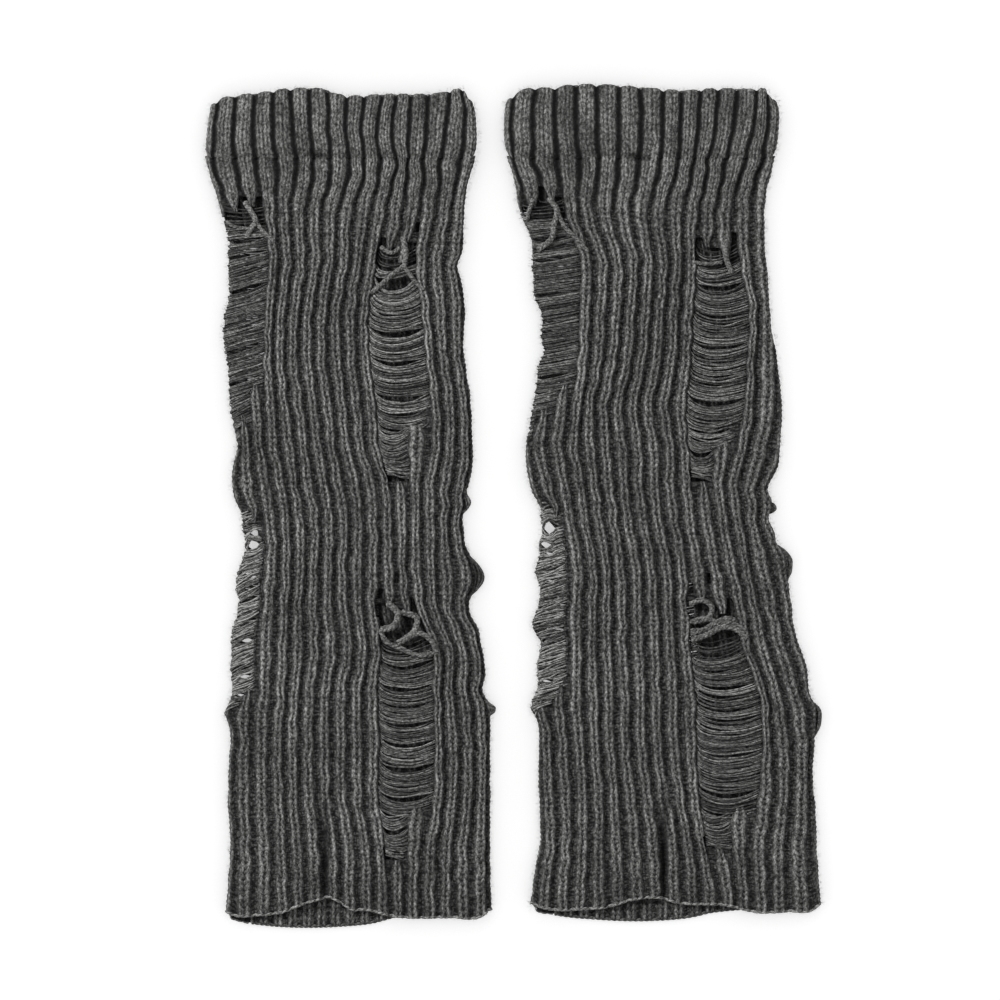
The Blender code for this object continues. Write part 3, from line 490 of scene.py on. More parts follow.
class Leg:
    """The measured form of one leg."""

    def __init__(self, name, sizes):
        self.name = name
        self.sizes = sizes
        self.first, self.last = sizes["front_ends"]
        self.left = curve(sizes["sides"], 1)
        self.right = curve(sizes["sides"], 2)
        self.left_wale = curve(sizes["fold_wales"], 1)
        self.right_wale = curve(sizes["fold_wales"], 2)
        self.guides = [curve(sizes["ribs"], column) for column in range(1, len(RIB_COLUMNS))]
        self.band_top = curve(sizes["band_top"], 1)
        self.front_hem = curve(sizes["front_hem"], 1)
        self.back_hem = curve(sizes["back_hem"], 1)
        self.front_openings = [opening for ladder in sizes["ladders"] for opening in ladder["openings"]]

    def random(self, seed):
        """Random numbers, the same each time, and others for the other leg."""
        return np.random.default_rng(seed + len(self.name))

    def across(self, wale, y):
        """The flat x of a wale at height y. Past the folds the ribs go on at the width they have there."""
        wale, y = np.broadcast_arrays(np.asarray(wale, float), np.asarray(y, float))
        past_fold = (math.pi / 2 - 1) * BODY_HALF_HEIGHT
        numbers = [self.left_wale(y)] + [np.full(y.shape, float(n)) for n in RIB_COLUMNS[1:]]
        numbers.append(self.right_wale(y))
        places = [self.left(y) - past_fold] + [guide(y) for guide in self.guides]
        places.append(self.right(y) + past_fold)
        flat_x = np.zeros(y.shape)
        for index in range(len(numbers) - 1):
            low = numbers[index] if index else np.full(y.shape, -1e9)
            high = numbers[index + 1] if index < len(numbers) - 2 else np.full(y.shape, 1e9)
            here = (wale >= low) & (wale < high)
            share = (wale - numbers[index]) / (numbers[index + 1] - numbers[index])
            flat_x = np.where(here, places[index] + share * (places[index + 1] - places[index]), flat_x)
        kink = SEAM_KINK * bell(y - SEAM_Y + KINK_BELOW, KINK_LENGTH)
        return flat_x + kink * ripple(wale * RIB_WIDTH, 0.2 * y, 40 + len(self.name), 24.0)

    def folds(self, flat_x, y, half_height):
        """Where the flat front ends left and right, how far past the nearer end this is, and if it's left."""
        left = self.left(y) + half_height
        right = self.right(y) - half_height
        return left, right, np.maximum(left - flat_x, flat_x - right), left - flat_x > flat_x - right

    def point(self, flat_x, y, inward, half_height=BODY_HALF_HEIGHT):
        """The x, y and z of a place on the flattened tube."""
        left, right, past, on_left = self.folds(flat_x, y, half_height)
        turn = np.clip(past / half_height, 0.0, math.pi)
        out = (half_height - inward) * np.sin(turn) - np.maximum(past - math.pi * half_height, 0.0)
        x = np.where(past <= 0, flat_x, np.where(on_left, left - out, right + out))
        z = half_height + (half_height - inward) * np.cos(turn)
        lift = self.lift(x, y) * (0.5 + 0.5 * np.cos(turn))
        return np.stack(np.broadcast_arrays(x, y, z + lift), axis=-1)

    def hem_round(self, flat_x):
        """The hem's y: the front's, and past the folds the back's."""
        left, right, past, on_left = self.folds(flat_x, HEM_Y, BODY_HALF_HEIGHT)
        beyond = past - math.pi * BODY_HALF_HEIGHT
        under_x = np.where(on_left, left + beyond, right - beyond)
        share = fade((past / (math.pi * BODY_HALF_HEIGHT) - 0.3) / 0.4)
        return self.front_hem(flat_x) * (1 - share) + self.back_hem(under_x) * share

    def back_x(self, share, y):
        """The x of the back's columns, which reach a little past the ends of the front's cloth."""
        start = self.point(self.across(self.first, y), y, 0.0)[..., 0] - 0.3
        end = self.point(self.across(self.last, y), y, 0.0)[..., 0] + 0.3
        return start + share * (end - start)

    def lift(self, x, y):
        """Soft waves and creases of the front."""
        waves = MEAN_LIFT + WAVE_HEIGHT * ripple(x, y * 0.6, 3 + len(self.name), WAVE_LENGTH)
        return waves + SEAM_RISE * bell(y - SEAM_Y, SEAM_RISE_LENGTH) + crease(x, y, self.sizes["creases"])

    def opened(self, path):
        """Moves a thread out of the places where one sees through, up or down whichever is nearer."""
        above = path[:, 2] > BODY_HALF_HEIGHT
        for side in (above, ~above):
            if not side.any():
                continue
            for x, y, half_width, half_height in self.sizes["see_through"]:
                nearest = np.argmin(np.where(side, np.abs(path[:, 0] - x), 1e9))
                way = 1.0 if path[nearest, 1] >= y else -1.0
                away = np.maximum(way * (path[:, 1] - y), 0.0)
                push = 1.1 * half_height * np.exp(-away / (1.5 * half_height))
                push = push * np.exp(-(((path[:, 0] - x) / (1.3 * half_width)) ** 4))
                path[:, 1] += np.where(side, way * push, 0.0)
        return path

    def crease_shade(self, x, y):
        """Painted shade of the sharper creases: below 1 in their troughs, darkening the cloth."""
        sharp = [line for line in self.sizes["creases"] if line[4] < SHARP_CREASE]
        return np.clip(1 + 0.4 * crease(x, y, sharp), 0.25, 1.25)


def crease(x, y, creases):
    """The height of the hand-placed creases, below 0 in their troughs."""
    height = np.zeros(np.broadcast(x, y).shape)
    for x0, y0, x1, y1, width, rise in creases:
        run_x = x1 - x0
        run_y = y1 - y0
        along = np.clip(((x - x0) * run_x + (y - y0) * run_y) / (run_x ** 2 + run_y ** 2), 0, 1)
        away = np.hypot(x - x0 - along * run_x, y - y0 - along * run_y)
        taper = 0.35 + 0.65 * np.sin(math.pi * np.clip(along, 0.08, 0.92))
        height = height + rise * taper * bell(away, width)
    return height


def row_heights(leg, rows, hem, x_at_hem):
    """The y of each row: even, but for where the hem pushes the lowest rows up or down."""
    y = HEM_Y + (BODY_TOP_Y - HEM_Y) * rows / STITCHES
    near = np.clip(1 - (y - HEM_Y) / HEM_SOFTENS, 0, 1) ** 2
    return y + (hem(x_at_hem) - HEM_Y) * near


def row_of(y):
    """The stitch, counted from the hem, at this height."""
    return np.round((y - HEM_Y) / (BODY_TOP_Y - HEM_Y) * STITCHES)


def near_band(y):
    """0 on most of the leg, and up to 1 where its ribs widen towards the band."""
    return fade((y - WIDENS_FROM_Y) / (SEAM_Y - WIDENS_FROM_Y))


def rib_relief(wale, row, ridge, arch=0.0):
    """The cloth's height across a rib, from 0 in its valley to 1 on its two columns of stitches."""
    from_middle = np.abs(wale % 1.0 - 0.5)
    column = bell(from_middle - ridge / 2, 0.36 * ridge)
    flank = np.clip((0.5 - from_middle) / (0.5 - 0.75 * ridge), 0, 1) ** 1.25
    pair = 0.25 * column + 0.75 * flank
    round_rib = (1 - (from_middle / 0.5) ** 2.2) ** 0.75
    relief = pair + arch * (round_rib * (0.92 + 0.08 * column) - pair)
    slant = np.abs(from_middle - ridge / 2) / (ridge / 2)
    bead = 0.5 + 0.5 * np.cos(2 * math.pi * (row + 0.4 * np.clip(slant, 0, 1.4)))
    return relief - 0.16 * (1 - bead) * (0.3 + 0.7 * relief)


def next_column(wale, way):
    """The wale of the next column of stitches to the right (1) or to the left (-1)."""
    half = BODY_RIDGE / 2
    columns = [math.floor(wale) + rib + side * half + 0.5 for rib in (-1, 0, 1) for side in (-1, 1)]
    return min((column for column in columns if way * (column - wale) > 0.05), key=lambda c: abs(c - wale))


def around_ladders(leg, wale, y):
    """How far the ribs beyond a ladder's ends are drawn in, and 1 on the columns that edge a ladder."""
    pull = np.zeros(wale.shape)
    edge = np.zeros(wale.shape)
    for first, last, top, bottom in leg.front_openings:
        if last - first <= NARROW:
            continue
        inside = (wale > max(first - 0.2, 0.0)) & (wale < last + 0.2)
        above = np.where(y > top - END_FADES, fade(1 - (y - top) / DRAWN_LENGTH), 0.0)
        below = np.where(y < bottom + END_FADES, fade(1 - (bottom - y) / DRAWN_LENGTH), 0.0)
        pull = np.where(inside, np.maximum(pull, np.maximum(above, 0.8 * below)), pull)
        within = fade((top - y) / END_FADES) * fade((y - bottom) / END_FADES)
        right = bell(wale - next_column(last, 1), EDGE_COLUMN)
        left = bell(wale - next_column(first, -1), EDGE_COLUMN)
        edge = np.maximum(edge, within * np.maximum(right, left))
    return pull, edge


# ---------------------------------------------------------------- meshes


def build(name, leg, points, faces, stitch_uv, bake_uv, ridge, shade, material):
    """A smooth mesh in its leg's place, none of it below the floor.

    faces is a list of (corner indexes, indexes of the corners whose UVs they take).
    """
    points = points.reshape(-1, 3)
    points = np.stack([points[:, 0], points[:, 1], np.maximum(points[:, 2], 0.0)], axis=-1)
    points = points + np.array([*leg.sizes["middle"], 0.0])
    used = np.unique(np.concatenate([corners.ravel() for corners, _ in faces]))
    new_index = np.zeros(len(points), np.int64)
    new_index[used] = np.arange(len(used))
    name = f"{leg.name}_{name}"
    mesh = bpy.data.meshes.new(name)
    mesh.vertices.add(len(used))
    mesh.vertices.foreach_set("co", (points[used] * MM).astype(np.float32).ravel())
    corners = np.concatenate([new_index[c].ravel() for c, _ in faces])
    uv_corners = np.concatenate([u.ravel() for _, u in faces])
    totals = np.concatenate([np.full(len(c), c.shape[1]) for c, _ in faces])
    mesh.loops.add(len(corners))
    mesh.loops.foreach_set("vertex_index", corners)
    mesh.polygons.add(len(totals))
    mesh.polygons.foreach_set("loop_start", np.concatenate([[0], np.cumsum(totals)[:-1]]))
    mesh.polygons.foreach_set("loop_total", totals)
    mesh.update(calc_edges=True)
    mesh.polygons.foreach_set("use_smooth", np.ones(len(totals), bool))
    for layer, values in (("Stitches", stitch_uv), ("OFBake", bake_uv)):
        uv = mesh.uv_layers.new(name=layer)
        uv.data.foreach_set("uv", values.reshape(-1, 2)[uv_corners].astype(np.float32).ravel())
    for layer, values in (("ridge", ridge), ("shade", shade)):
        attribute = mesh.attributes.new(layer, "FLOAT", "POINT")
        attribute.data.foreach_set("value", values.ravel()[used].astype(np.float32))
    mesh.materials.append(material)
    mesh.validate()
    piece = bpy.data.objects.new(name, mesh)
    bpy.context.scene.collection.objects.link(piece)
    return piece


def both(outer, inner, width=1):
    """The values of a sheet's outer points, then those of its inner points."""
    return np.concatenate([outer.reshape(-1, width), inner.reshape(-1, width)])


def columns_of(places, ribs, ends=()):
    """The grid's columns, as wales: the same places across each of these ribs, then the ends."""
    return np.concatenate([np.array(places) + rib for rib in ribs] + [ends])


def grid(rows, columns, start=0):
    """The indexes of a grid's points, row by row."""
    return start + np.arange(rows * columns).reshape(rows, columns)


def grid_quads(index):
    """The corners of a grid's cells, counter-clockwise as seen from its outer side."""
    return np.stack([index[:-1, :-1], index[:-1, 1:], index[1:, 1:], index[1:, :-1]], axis=-1)


def fan(outer, inner, flip):
    """Triangles from a run of outer corners to the two inner corners at its ends, and their UV corners."""
    half = (len(outer) - 1) // 2
    corners = []
    uvs = []
    for step, (a, b) in enumerate(zip(outer[:-1], outer[1:])):
        corners.append((a, b, inner[0] if step < half else inner[1]))
        uvs.append((a, b, b))
    corners.append((outer[half], inner[1], inner[0]))
    uvs.append((outer[half],) * 3)
    if flip:
        corners = [corner[::-1] for corner in corners]
        uvs = [uv[::-1] for uv in uvs]
    return corners, uvs


def shell_faces(outer_index, inner_index, keep, row_places, column_places):
    """The faces of a closed sheet whose plain side has fewer points, with openings where keep is False."""
    fine = np.repeat(np.repeat(keep, np.diff(row_places), axis=0), np.diff(column_places), axis=1)
    outer = grid_quads(outer_index)[fine]
    inner = grid_quads(inner_index)[keep][:, [0, 3, 2, 1]]
    padded = np.zeros((keep.shape[0] + 2, keep.shape[1] + 2), bool)
    padded[1:-1, 1:-1] = keep
    rims = []
    for row, column in zip(*np.nonzero(padded[1:-1, 1:] != padded[1:-1, :-1])):
        run = outer_index[row_places[row]:row_places[row + 1] + 1, column_places[column]]
        ends = (inner_index[row, column], inner_index[row + 1, column])
        rims.append(fan(run, ends, flip=bool(padded[row + 1, column])))
    for row, column in zip(*np.nonzero(padded[1:, 1:-1] != padded[:-1, 1:-1])):
        run = outer_index[row_places[row], column_places[column]:column_places[column + 1] + 1]
        ends = (inner_index[row, column], inner_index[row, column + 1])
        rims.append(fan(run, ends, flip=not padded[row, column + 1]))
    rim = np.concatenate([corners for corners, _ in rims])
    rim_uv = np.concatenate([uvs for _, uvs in rims])
    return [(outer, outer), (inner, inner), (rim, rim_uv)]


def open_cells(openings, wale_edges, row_edges):
    """Which cells of the grid are cloth: False inside the ladders' openings, given as wales and heights."""
    keep = np.ones((len(row_edges) - 1, len(wale_edges) - 1), bool)
    middles = (wale_edges[1:] + wale_edges[:-1]) / 2
    row_middles = (row_edges[1:] + row_edges[:-1]) / 2
    for first, last, top, bottom in openings:
        across = (middles > first) & (middles < last)
        along = (row_middles < row_of(top)) & (row_middles > row_of(bottom))
        keep[np.ix_(along, across)] = False
    return keep


def body_front(leg, material):
    """The tube's front half, which goes on round both folds, with its ladders cut out."""
    first, last = leg.first, leg.last
    columns = columns_of(FRONT_COLUMNS, range(first, last), [last])
    plain = np.isin(np.round(columns % 1.0, 3), FRONT_INSIDE_COLUMNS)
    plain[[0, -1]] = True
    column_places = np.nonzero(plain)[0]
    rows = np.arange(STITCHES * ROWS_PER_STITCH + 1) / ROWS_PER_STITCH
    row_places = np.arange(0, len(rows), ROWS_PER_STITCH)
    places = np.ix_(row_places, column_places)
    wale, row = np.meshgrid(columns, rows)
    flat = (wale * RIB_WIDTH, row * STITCH)
    y = row_heights(leg, row, leg.hem_round, leg.across(wale, HEM_Y))
    ridge = BODY_RIDGE + (BAND_RIDGE - 0.03 - BODY_RIDGE) * near_band(y)
    pull, edge = around_ladders(leg, wale, y)
    relief = rib_relief(wale, row, ridge, ROUND_NEAR_BAND * near_band(y))
    relief = relief * (1 + UNEVEN * ripple(*flat, 11, 9.0))
    relief = relief * (1 - DRAWN_LOWER * pull) + EDGE_HIGHER * edge
    narrowed = wale - DRAWN_NARROWER * pull * (wale % 1.0 - 0.5)
    sway = SWAY * fade(wale - first) * fade(last - wale)
    flat_x = leg.across(narrowed, y) + sway * ripple(*flat, 12, 13.0)
    outer = leg.point(flat_x, y, BODY_VALLEY * (1 - relief))
    deep = np.where(np.abs(columns % 1.0 - 0.5) < 0.2, BODY_WALL - RIB_HOLLOW, BODY_WALL)
    inner = leg.point(flat_x, y, deep[None, :])[places]
    keep = open_cells(leg.front_openings, columns[column_places], rows[row_places])
    faces = shell_faces(grid(*wale.shape), grid(*inner.shape[:2], start=wale.size), keep, row_places,
                        column_places)
    stitch_uv = np.stack([wale - first, row], axis=-1)
    bake = np.stack([0.8 * (wale - first) / (last - first), row / STITCHES], axis=-1)
    inside_bake = bake[places] * np.array([0.18 / 0.8, 1.0]) + np.array([0.81, 0.0])
    shade = 1 + MOTTLE * ripple(*flat, 21, 60.0) + EDGE_LIGHTER * edge - DRAWN_DARKER * pull
    hem_shade = 1 - HEM_DARKER * fade(1 - (y - HEM_Y) / HEM_SHADE_HEIGHT)
    shade = shade * leg.crease_shade(flat_x, y) * hem_shade
    # The front's inside takes INSIDE_SHADE of its outside's shade: painted shade inside the tube.
    piece = build("knit_front", leg, both(outer, inner, 3), faces, both(stitch_uv, stitch_uv[places], 2),
                  both(bake, inside_bake, 2), both(ridge, ridge[places]),
                  both(shade, INSIDE_SHADE * shade[places]), material)
    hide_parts(f"{leg.name}_front")
    return piece


def body_back(leg, material):
    """The tube's back half, which lies on the floor: its inside is seen past the front's hem."""
    columns = columns_of(BACK_COLUMNS, range(BACK_RIBS), [BACK_RIBS])
    rows = np.arange(STITCHES * BACK_ROWS_PER_STITCH + 1) / BACK_ROWS_PER_STITCH
    wale, row = np.meshgrid(columns, rows)
    share = wale / BACK_RIBS
    y = row_heights(leg, row, leg.back_hem, leg.back_x(share, HEM_Y))
    x = leg.back_x(share, y)
    ridge = np.full(y.shape, BODY_RIDGE)
    under_z = BACK_RELIEF * (1 - rib_relief(wale, row, ridge))
    inside_z = BODY_WALL - BACK_INSIDE_RELIEF * (1 - rib_relief(wale + 0.5, row, ridge))
    keep = open_cells(leg.sizes["back_openings"], columns, rows)
    faces = shell_faces(grid(*y.shape), grid(*y.shape, start=y.size), keep, np.arange(len(rows)),
                        np.arange(len(columns)))
    stitch_uv = np.stack([wale, row], axis=-1)
    bake = np.stack([0.49 * share, row / STITCHES], axis=-1)
    # Painted shade on the back's inside, which lies in the tube's hollow, with painted light towards the hem
    # where it lies open.
    shade = BACK_SHADE + BACK_HEM_PAINTED_LIGHT * fade(1 - (y - HEM_Y) / BACK_HEM_HEIGHT)
    inside = np.stack([x, y, inside_z], axis=-1)
    under = np.stack([x, y, under_z], axis=-1)
    piece = build("knit_back", leg, both(inside, under, 3), faces,
                  both(stitch_uv + np.array([0.5, 0.0]), stitch_uv, 2),
                  both(bake, bake + np.array([0.505, 0.0]), 2), both(ridge, ridge),
                  both(shade, np.ones(y.shape)), material)
    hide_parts(f"{leg.name}_back")
    return piece


def band(leg, material):
    """The doubled band: one closed skin that goes up outside, over its top edge and down inside."""
    first, last = leg.first, leg.last
    round_it = np.concatenate([columns_of(BAND_COLUMNS, range(first, last)),
                               last + columns_of(BAND_BACK_COLUMNS, range(BACK_RIBS))])
    roll = BAND_WALL / 2
    outside = np.linspace(0.0, 1.0, BAND_STITCHES * ROWS_PER_STITCH + 1)
    turns = np.linspace(0.0, math.pi, 9)[1:]
    inside = np.linspace(1.0, 0.0, 6)[1:]
    wale, share = np.meshgrid(round_it, np.concatenate([outside, np.ones(len(turns)), inside]))
    turn = np.concatenate([np.zeros(len(outside)), turns, np.full(len(inside), math.pi)])
    turn = np.broadcast_to(turn[:, None], wale.shape)
    is_front = wale <= last
    front_wale = np.minimum(wale, last)
    back_share = 1 - (wale - last) / BACK_RIBS
    edge_x = np.where(is_front, leg.across(front_wale, BAND_HIGH_Y), leg.back_x(back_share, BAND_HIGH_Y))
    left_end = leg.left(BAND_HIGH_Y) + BAND_CORNER
    right_end = leg.right(BAND_HIGH_Y) - BAND_CORNER
    top = leg.band_top(np.clip(edge_x, left_end, right_end)) - roll
    y_plain = SEAM_Y + (top - SEAM_Y) * share
    above_seam = y_plain - SEAM_Y
    row = above_seam / STITCH
    ridge = np.full(wale.shape, BAND_RIDGE)
    cut = np.minimum(BAND_VALLEY * (1 - rib_relief(wale, row, ridge, 1.0)), roll - 0.2)
    seam_in = SEAM_TUCK * fade(1 - above_seam / SEAM_TUCK_HEIGHT)
    seam_in = seam_in + SEAM_SLIT * np.clip(1 - above_seam / SEAM_SLIT_HEIGHT, 0, 1)
    inward = roll - (roll - cut) * np.cos(turn) + seam_in * (turn < 0.1)
    y = y_plain + (roll - cut) * np.sin(turn)
    flat_x = leg.across(front_wale, y) + 0.25 * ripple(wale * RIB_WIDTH, y, 31, 15.0)
    ring = leg.point(flat_x, y, inward, BAND_HALF_HEIGHT)
    behind = np.stack([leg.back_x(back_share, y), y, inward], axis=-1)
    rows, columns = wale.shape
    quads = grid_quads(np.pad(grid(rows, columns), ((0, 1), (0, 1)), mode="wrap")).reshape(-1, 4)
    stitch_uv = np.stack([wale - first, row + turn * roll / STITCH], axis=-1)
    bake = np.meshgrid((round_it - first) / (last - first + BACK_RIBS + 0.5), np.linspace(0, 0.98, rows))
    # Painted shade in the sharp creases, on the band's face.
    shade = np.where(is_front & (turn < 0.1), leg.crease_shade(flat_x, y), 1.0)
    piece = build("knit_band", leg, np.where(is_front[..., None], ring, behind), [(quads, quads)],
                  stitch_uv, np.stack(bake, axis=-1), ridge, shade, material)
    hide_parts(f"{leg.name}_band")
    return piece


# ---------------------------------------------------------------- threads


def distances(path):
    """How far each point of a path lies along it."""
    return np.concatenate([[0], np.cumsum(np.linalg.norm(np.diff(path, axis=0), axis=1))])


def unit(vectors):
    """The same vectors, one long."""
    return vectors / (np.linalg.norm(vectors, axis=1, keepdims=True) + 1e-9)


def tubes(name, leg, strands, material, sides):
    """Round threads as one mesh. A strand is (points, radius at each point, shade)."""
    points, faces, stitch_uv, bake_uv, shades = [], [], [], [], []
    start = 0
    angles = np.arange(sides) * 2 * math.pi / sides
    for number, (path, radius, shade) in enumerate(strands):
        path[:, 2] = np.maximum(path[:, 2], radius)
        tangent = unit(np.gradient(path, axis=0))
        side = unit(np.cross(tangent, [0.0, 0.0, 1.0]))
        up = np.cross(side, tangent)
        ring = np.cos(angles)[:, None] * side[:, None, :] + np.sin(angles)[:, None] * up[:, None, :]
        points.append((path[:, None, :] + ring * np.reshape(radius, (-1, 1, 1))).reshape(-1, 3))
        index = grid(len(path), sides, start)
        beside = np.roll(index, -1, axis=1)
        quads = np.stack([index[:-1], index[1:], beside[1:], beside[:-1]], axis=-1).reshape(-1, 4)
        faces.append((quads, quads))
        for cap in (index[0], np.roll(index[-1, ::-1], 1)):
            triangles = np.array([(cap[0], cap[step], cap[step + 1]) for step in range(1, sides - 1)])
            faces.append((triangles, triangles))
        turned, along = np.meshgrid(np.arange(sides) / sides, distances(path))
        stitch_uv.append(np.stack([number + turned, along / STITCH], axis=-1).reshape(-1, 2))
        lane = (number + 0.1 + 0.8 * turned) / len(strands)
        bake_uv.append(np.stack([along / BAKED_LENGTH, lane], axis=-1).reshape(-1, 2))
        shades.append(np.full(index.size, shade))
        start += index.size
    return build(name, leg, np.concatenate(points), faces, np.concatenate(stitch_uv), np.concatenate(bake_uv),
                 np.zeros(start), np.concatenate(shades), material)


def parted(y, partings):
    """Moves a thread away from the places where a ladder gapes."""
    for place, size in partings:
        away = y - place
        y = y + np.sign(away) * size / 2 * np.exp(-np.abs(away) / (1.3 * size))
    return y


def open_at(openings, y):
    """The leftmost and rightmost wale that is open at a height."""
    spans = [(first, last) for first, last, top, bottom in openings if bottom - 1.5 <= y <= top + 2.0]
    if not spans:
        return 0.0, 0.0
    return min(span[0] for span in spans), max(span[1] for span in spans)


def ladder_threads(leg, ladder, number):
    """The rungs of one ladder: thin threads that sag and bunch between the rows they were knitted in."""
    random = np.random.default_rng(100 + number + 50 * len(leg.name))
    top = ladder["threads_from"]
    bottom = min(opening[3] for opening in ladder["openings"])
    loose = 0.5 + ladder.get("tangle", 0.0)
    on_fold = ladder["rise"] < 0
    pitch = STITCH / (THREADS_PER_STITCH + 1 if on_fold else THREADS_PER_STITCH)
    steps = np.linspace(0.0, 1.0, 17)
    bow = (steps ** 0.6) * (1 - steps)
    bow = bow / bow.max()
    spread = np.minimum(1.0, 5.0 * steps * (1 - steps))
    strands = []
    for row in range(-HOLLOW_THREADS, int((top - bottom) / pitch) + 2):
        y_row = top - row * (pitch if row > 0 else STITCH * 0.7)
        left, right = open_at(ladder["openings"], y_row)
        if right - left < 0.2:
            continue
        rise = ladder["rise"] * min(1.0, max(0, row) * pitch / 16.0)
        y_left = y_row + rise + loose * random.uniform(-1.0, 1.0)
        y_right = y_row + 0.6 * loose * random.uniform(-1.0, 1.0)
        x_left = float(leg.across(left, y_left)) - 0.5
        x_right = float(leg.across(right, y_right)) + 0.6
        sag = ladder["sag"] * min(1.0, (y_row - bottom) / 14.0) * random.uniform(0.85, 1.15)
        middle = (y_left + y_right) / 2 - sag
        shift = parted(middle, ladder["partings"]) - middle
        y = y_left + (y_right - y_left) * steps + shift * spread - sag * bow
        y += loose * random.uniform(0.2, 0.7) * np.sin(steps * random.uniform(4, 12) + random.uniform(0, 6))
        depth = 1.5 + random.uniform(-0.7, 0.7) + (0.9 if row < 1 else 0.0)
        inward = depth - 0.7 * bow + 0.25 * np.sin(steps * 7 + random.uniform(0, 6)) + 1.1 * (1 - spread)
        path = leg.opened(leg.point(x_left + (x_right - x_left) * steps, y, inward))
        radius = random.uniform(*LADDER_RADII) * (1 + 0.15 * np.sin(steps * 40 + random.uniform(0, 6)))
        bundle = 1 + 0.3 * math.sin(y_row * 0.9) + 0.15 * math.sin(y_row * 0.37 + number)
        bundle *= 1 + 0.28 * math.sin(row * math.pi / 2 + random.uniform(-0.8, 0.8))
        light = ladder["shade"] * random.uniform(0.5, 1.6) * bundle
        # Threads hanging in the hollow behind the ladder's top get half the lightness: painted shade.
        strands.append((path, radius, light * (1.0 if row > 0 else 0.5)))
    return strands


def smooth_path(points, count):
    """A smooth path through a few points."""
    rows = np.column_stack([distances(np.array(points, float)), points])
    places = np.linspace(0, rows[-1, 0], count)
    return np.stack([curve(rows, column)(places) for column in range(1, rows.shape[1])], axis=-1)


def loose_loops(leg):
    """The listed yarns and loops at the ladders' tops, each of three strands twisted together."""
    strands = []
    for radius, shade, points in leg.sizes["loops"]:
        path = smooth_path(points, 5 + 6 * (len(points) - 1))
        steps = np.arange(len(path))
        along = np.gradient(path[:, :2], axis=0)
        along /= np.linalg.norm(along, axis=1, keepdims=True)
        for strand in range(3):
            turn = 0.9 * steps + 2 * math.pi * strand / 3
            out = np.cos(turn)
            offset = np.stack([-along[:, 1] * out, along[:, 0] * out, np.sin(turn)], axis=-1)
            place = path + 0.8 * radius * offset
            thickness = 0.9 * radius * (1 + 0.12 * np.sin(steps * 2.1))
            strands.append((leg.point(*place.T), thickness, 1.3 * shade))
    return strands


def hem_edge(leg):
    """The bound-off edges of the front and the back: two thin cords twisted round each other."""
    wale = np.linspace(leg.first + 0.02, leg.last - 0.02, 240)
    x_at_hem = leg.across(wale, HEM_Y)
    share = np.linspace(0.01, 0.99, 200)
    x = leg.back_x(share, HEM_Y)
    strands = []
    for start in (0.0, math.pi):
        turn = start + 2 * math.pi * 1.5 * wale
        front_y = leg.hem_round(x_at_hem) + 0.3 * np.sin(turn)
        dip = 0.8 * BODY_VALLEY * (1 - rib_relief(wale, STITCHES, BODY_RIDGE))
        front = leg.point(x_at_hem, front_y, 0.6 + dip - 0.4 * np.cos(turn))
        strands.append((front, FRONT_CORD_RADIUS, 1.7))
        turn = start + 2 * math.pi * 22 * share
        back = np.stack([x, leg.back_hem(x) + 0.4 * np.sin(turn), 1.5 + 0.4 * np.cos(turn)], axis=-1)
        strands.append((back, BACK_CORD_RADIUS, 0.8))
    return strands


def back_threads(leg):
    """The threads across the back's ladders. Those at the sides reach round to the folds."""
    random = leg.random(55)
    steps = np.linspace(0.0, 1.0, 9)
    bow = 4 * steps * (1 - steps)
    strands = []
    for first, last, top, bottom in leg.sizes["back_openings"]:
        for y_row in np.arange(top + 3.0, bottom, -BACK_THREAD_PITCH):
            start = float(leg.back_x((first - 0.3) / BACK_RIBS, y_row))
            end = float(leg.back_x((last + 0.3) / BACK_RIBS, y_row))
            start = float(leg.left(y_row)) + 0.7 if first == 0 else start
            end = float(leg.right(y_row)) - 0.7 if last > BACK_RIBS else end
            y = y_row - random.uniform(1.4, 2.0) * bow + random.uniform(-0.2, 0.2)
            z = random.uniform(1.0, 2.2) + 0.3 * np.sin(steps * 6 + random.uniform(0, 6))
            path = np.stack([start + (end - start) * steps, y, z], axis=-1)
            strands.append((leg.opened(path), random.uniform(*BACK_RADII), random.uniform(0.4, 0.9)))
    return strands


def edge_bulges(leg):
    """Loose threads of the back's ladder that bulge out past the right fold, one inside another."""
    random = leg.random(77)
    steps = np.linspace(0.0, 1.0, 14)
    strands = []
    for top, bottom, out, shade in leg.sizes["bulges"]:
        for reach in np.linspace(-1.2, out, BULGE_THREADS):
            start = top + random.uniform(-1.5, 0.5)
            end = bottom + random.uniform(-0.5, 1.5)
            y = start + (end - start) * steps
            bulge = np.sin(math.pi * steps ** random.uniform(0.8, 1.2)) * (reach + 2.0)
            bulge = bulge * random.uniform(0.9, 1.05)
            x = leg.right(y) - 2.0 + bulge + 0.15 * np.sin(steps * random.uniform(9, 20))
            z = random.uniform(1.2, 4.2) + 0.5 * np.sin(steps * random.uniform(3, 6))
            radius = random.uniform(*BULGE_RADII)
            strands.append((np.stack([x, y, z], axis=-1), radius, shade * random.uniform(0.7, 1.2)))
    return strands


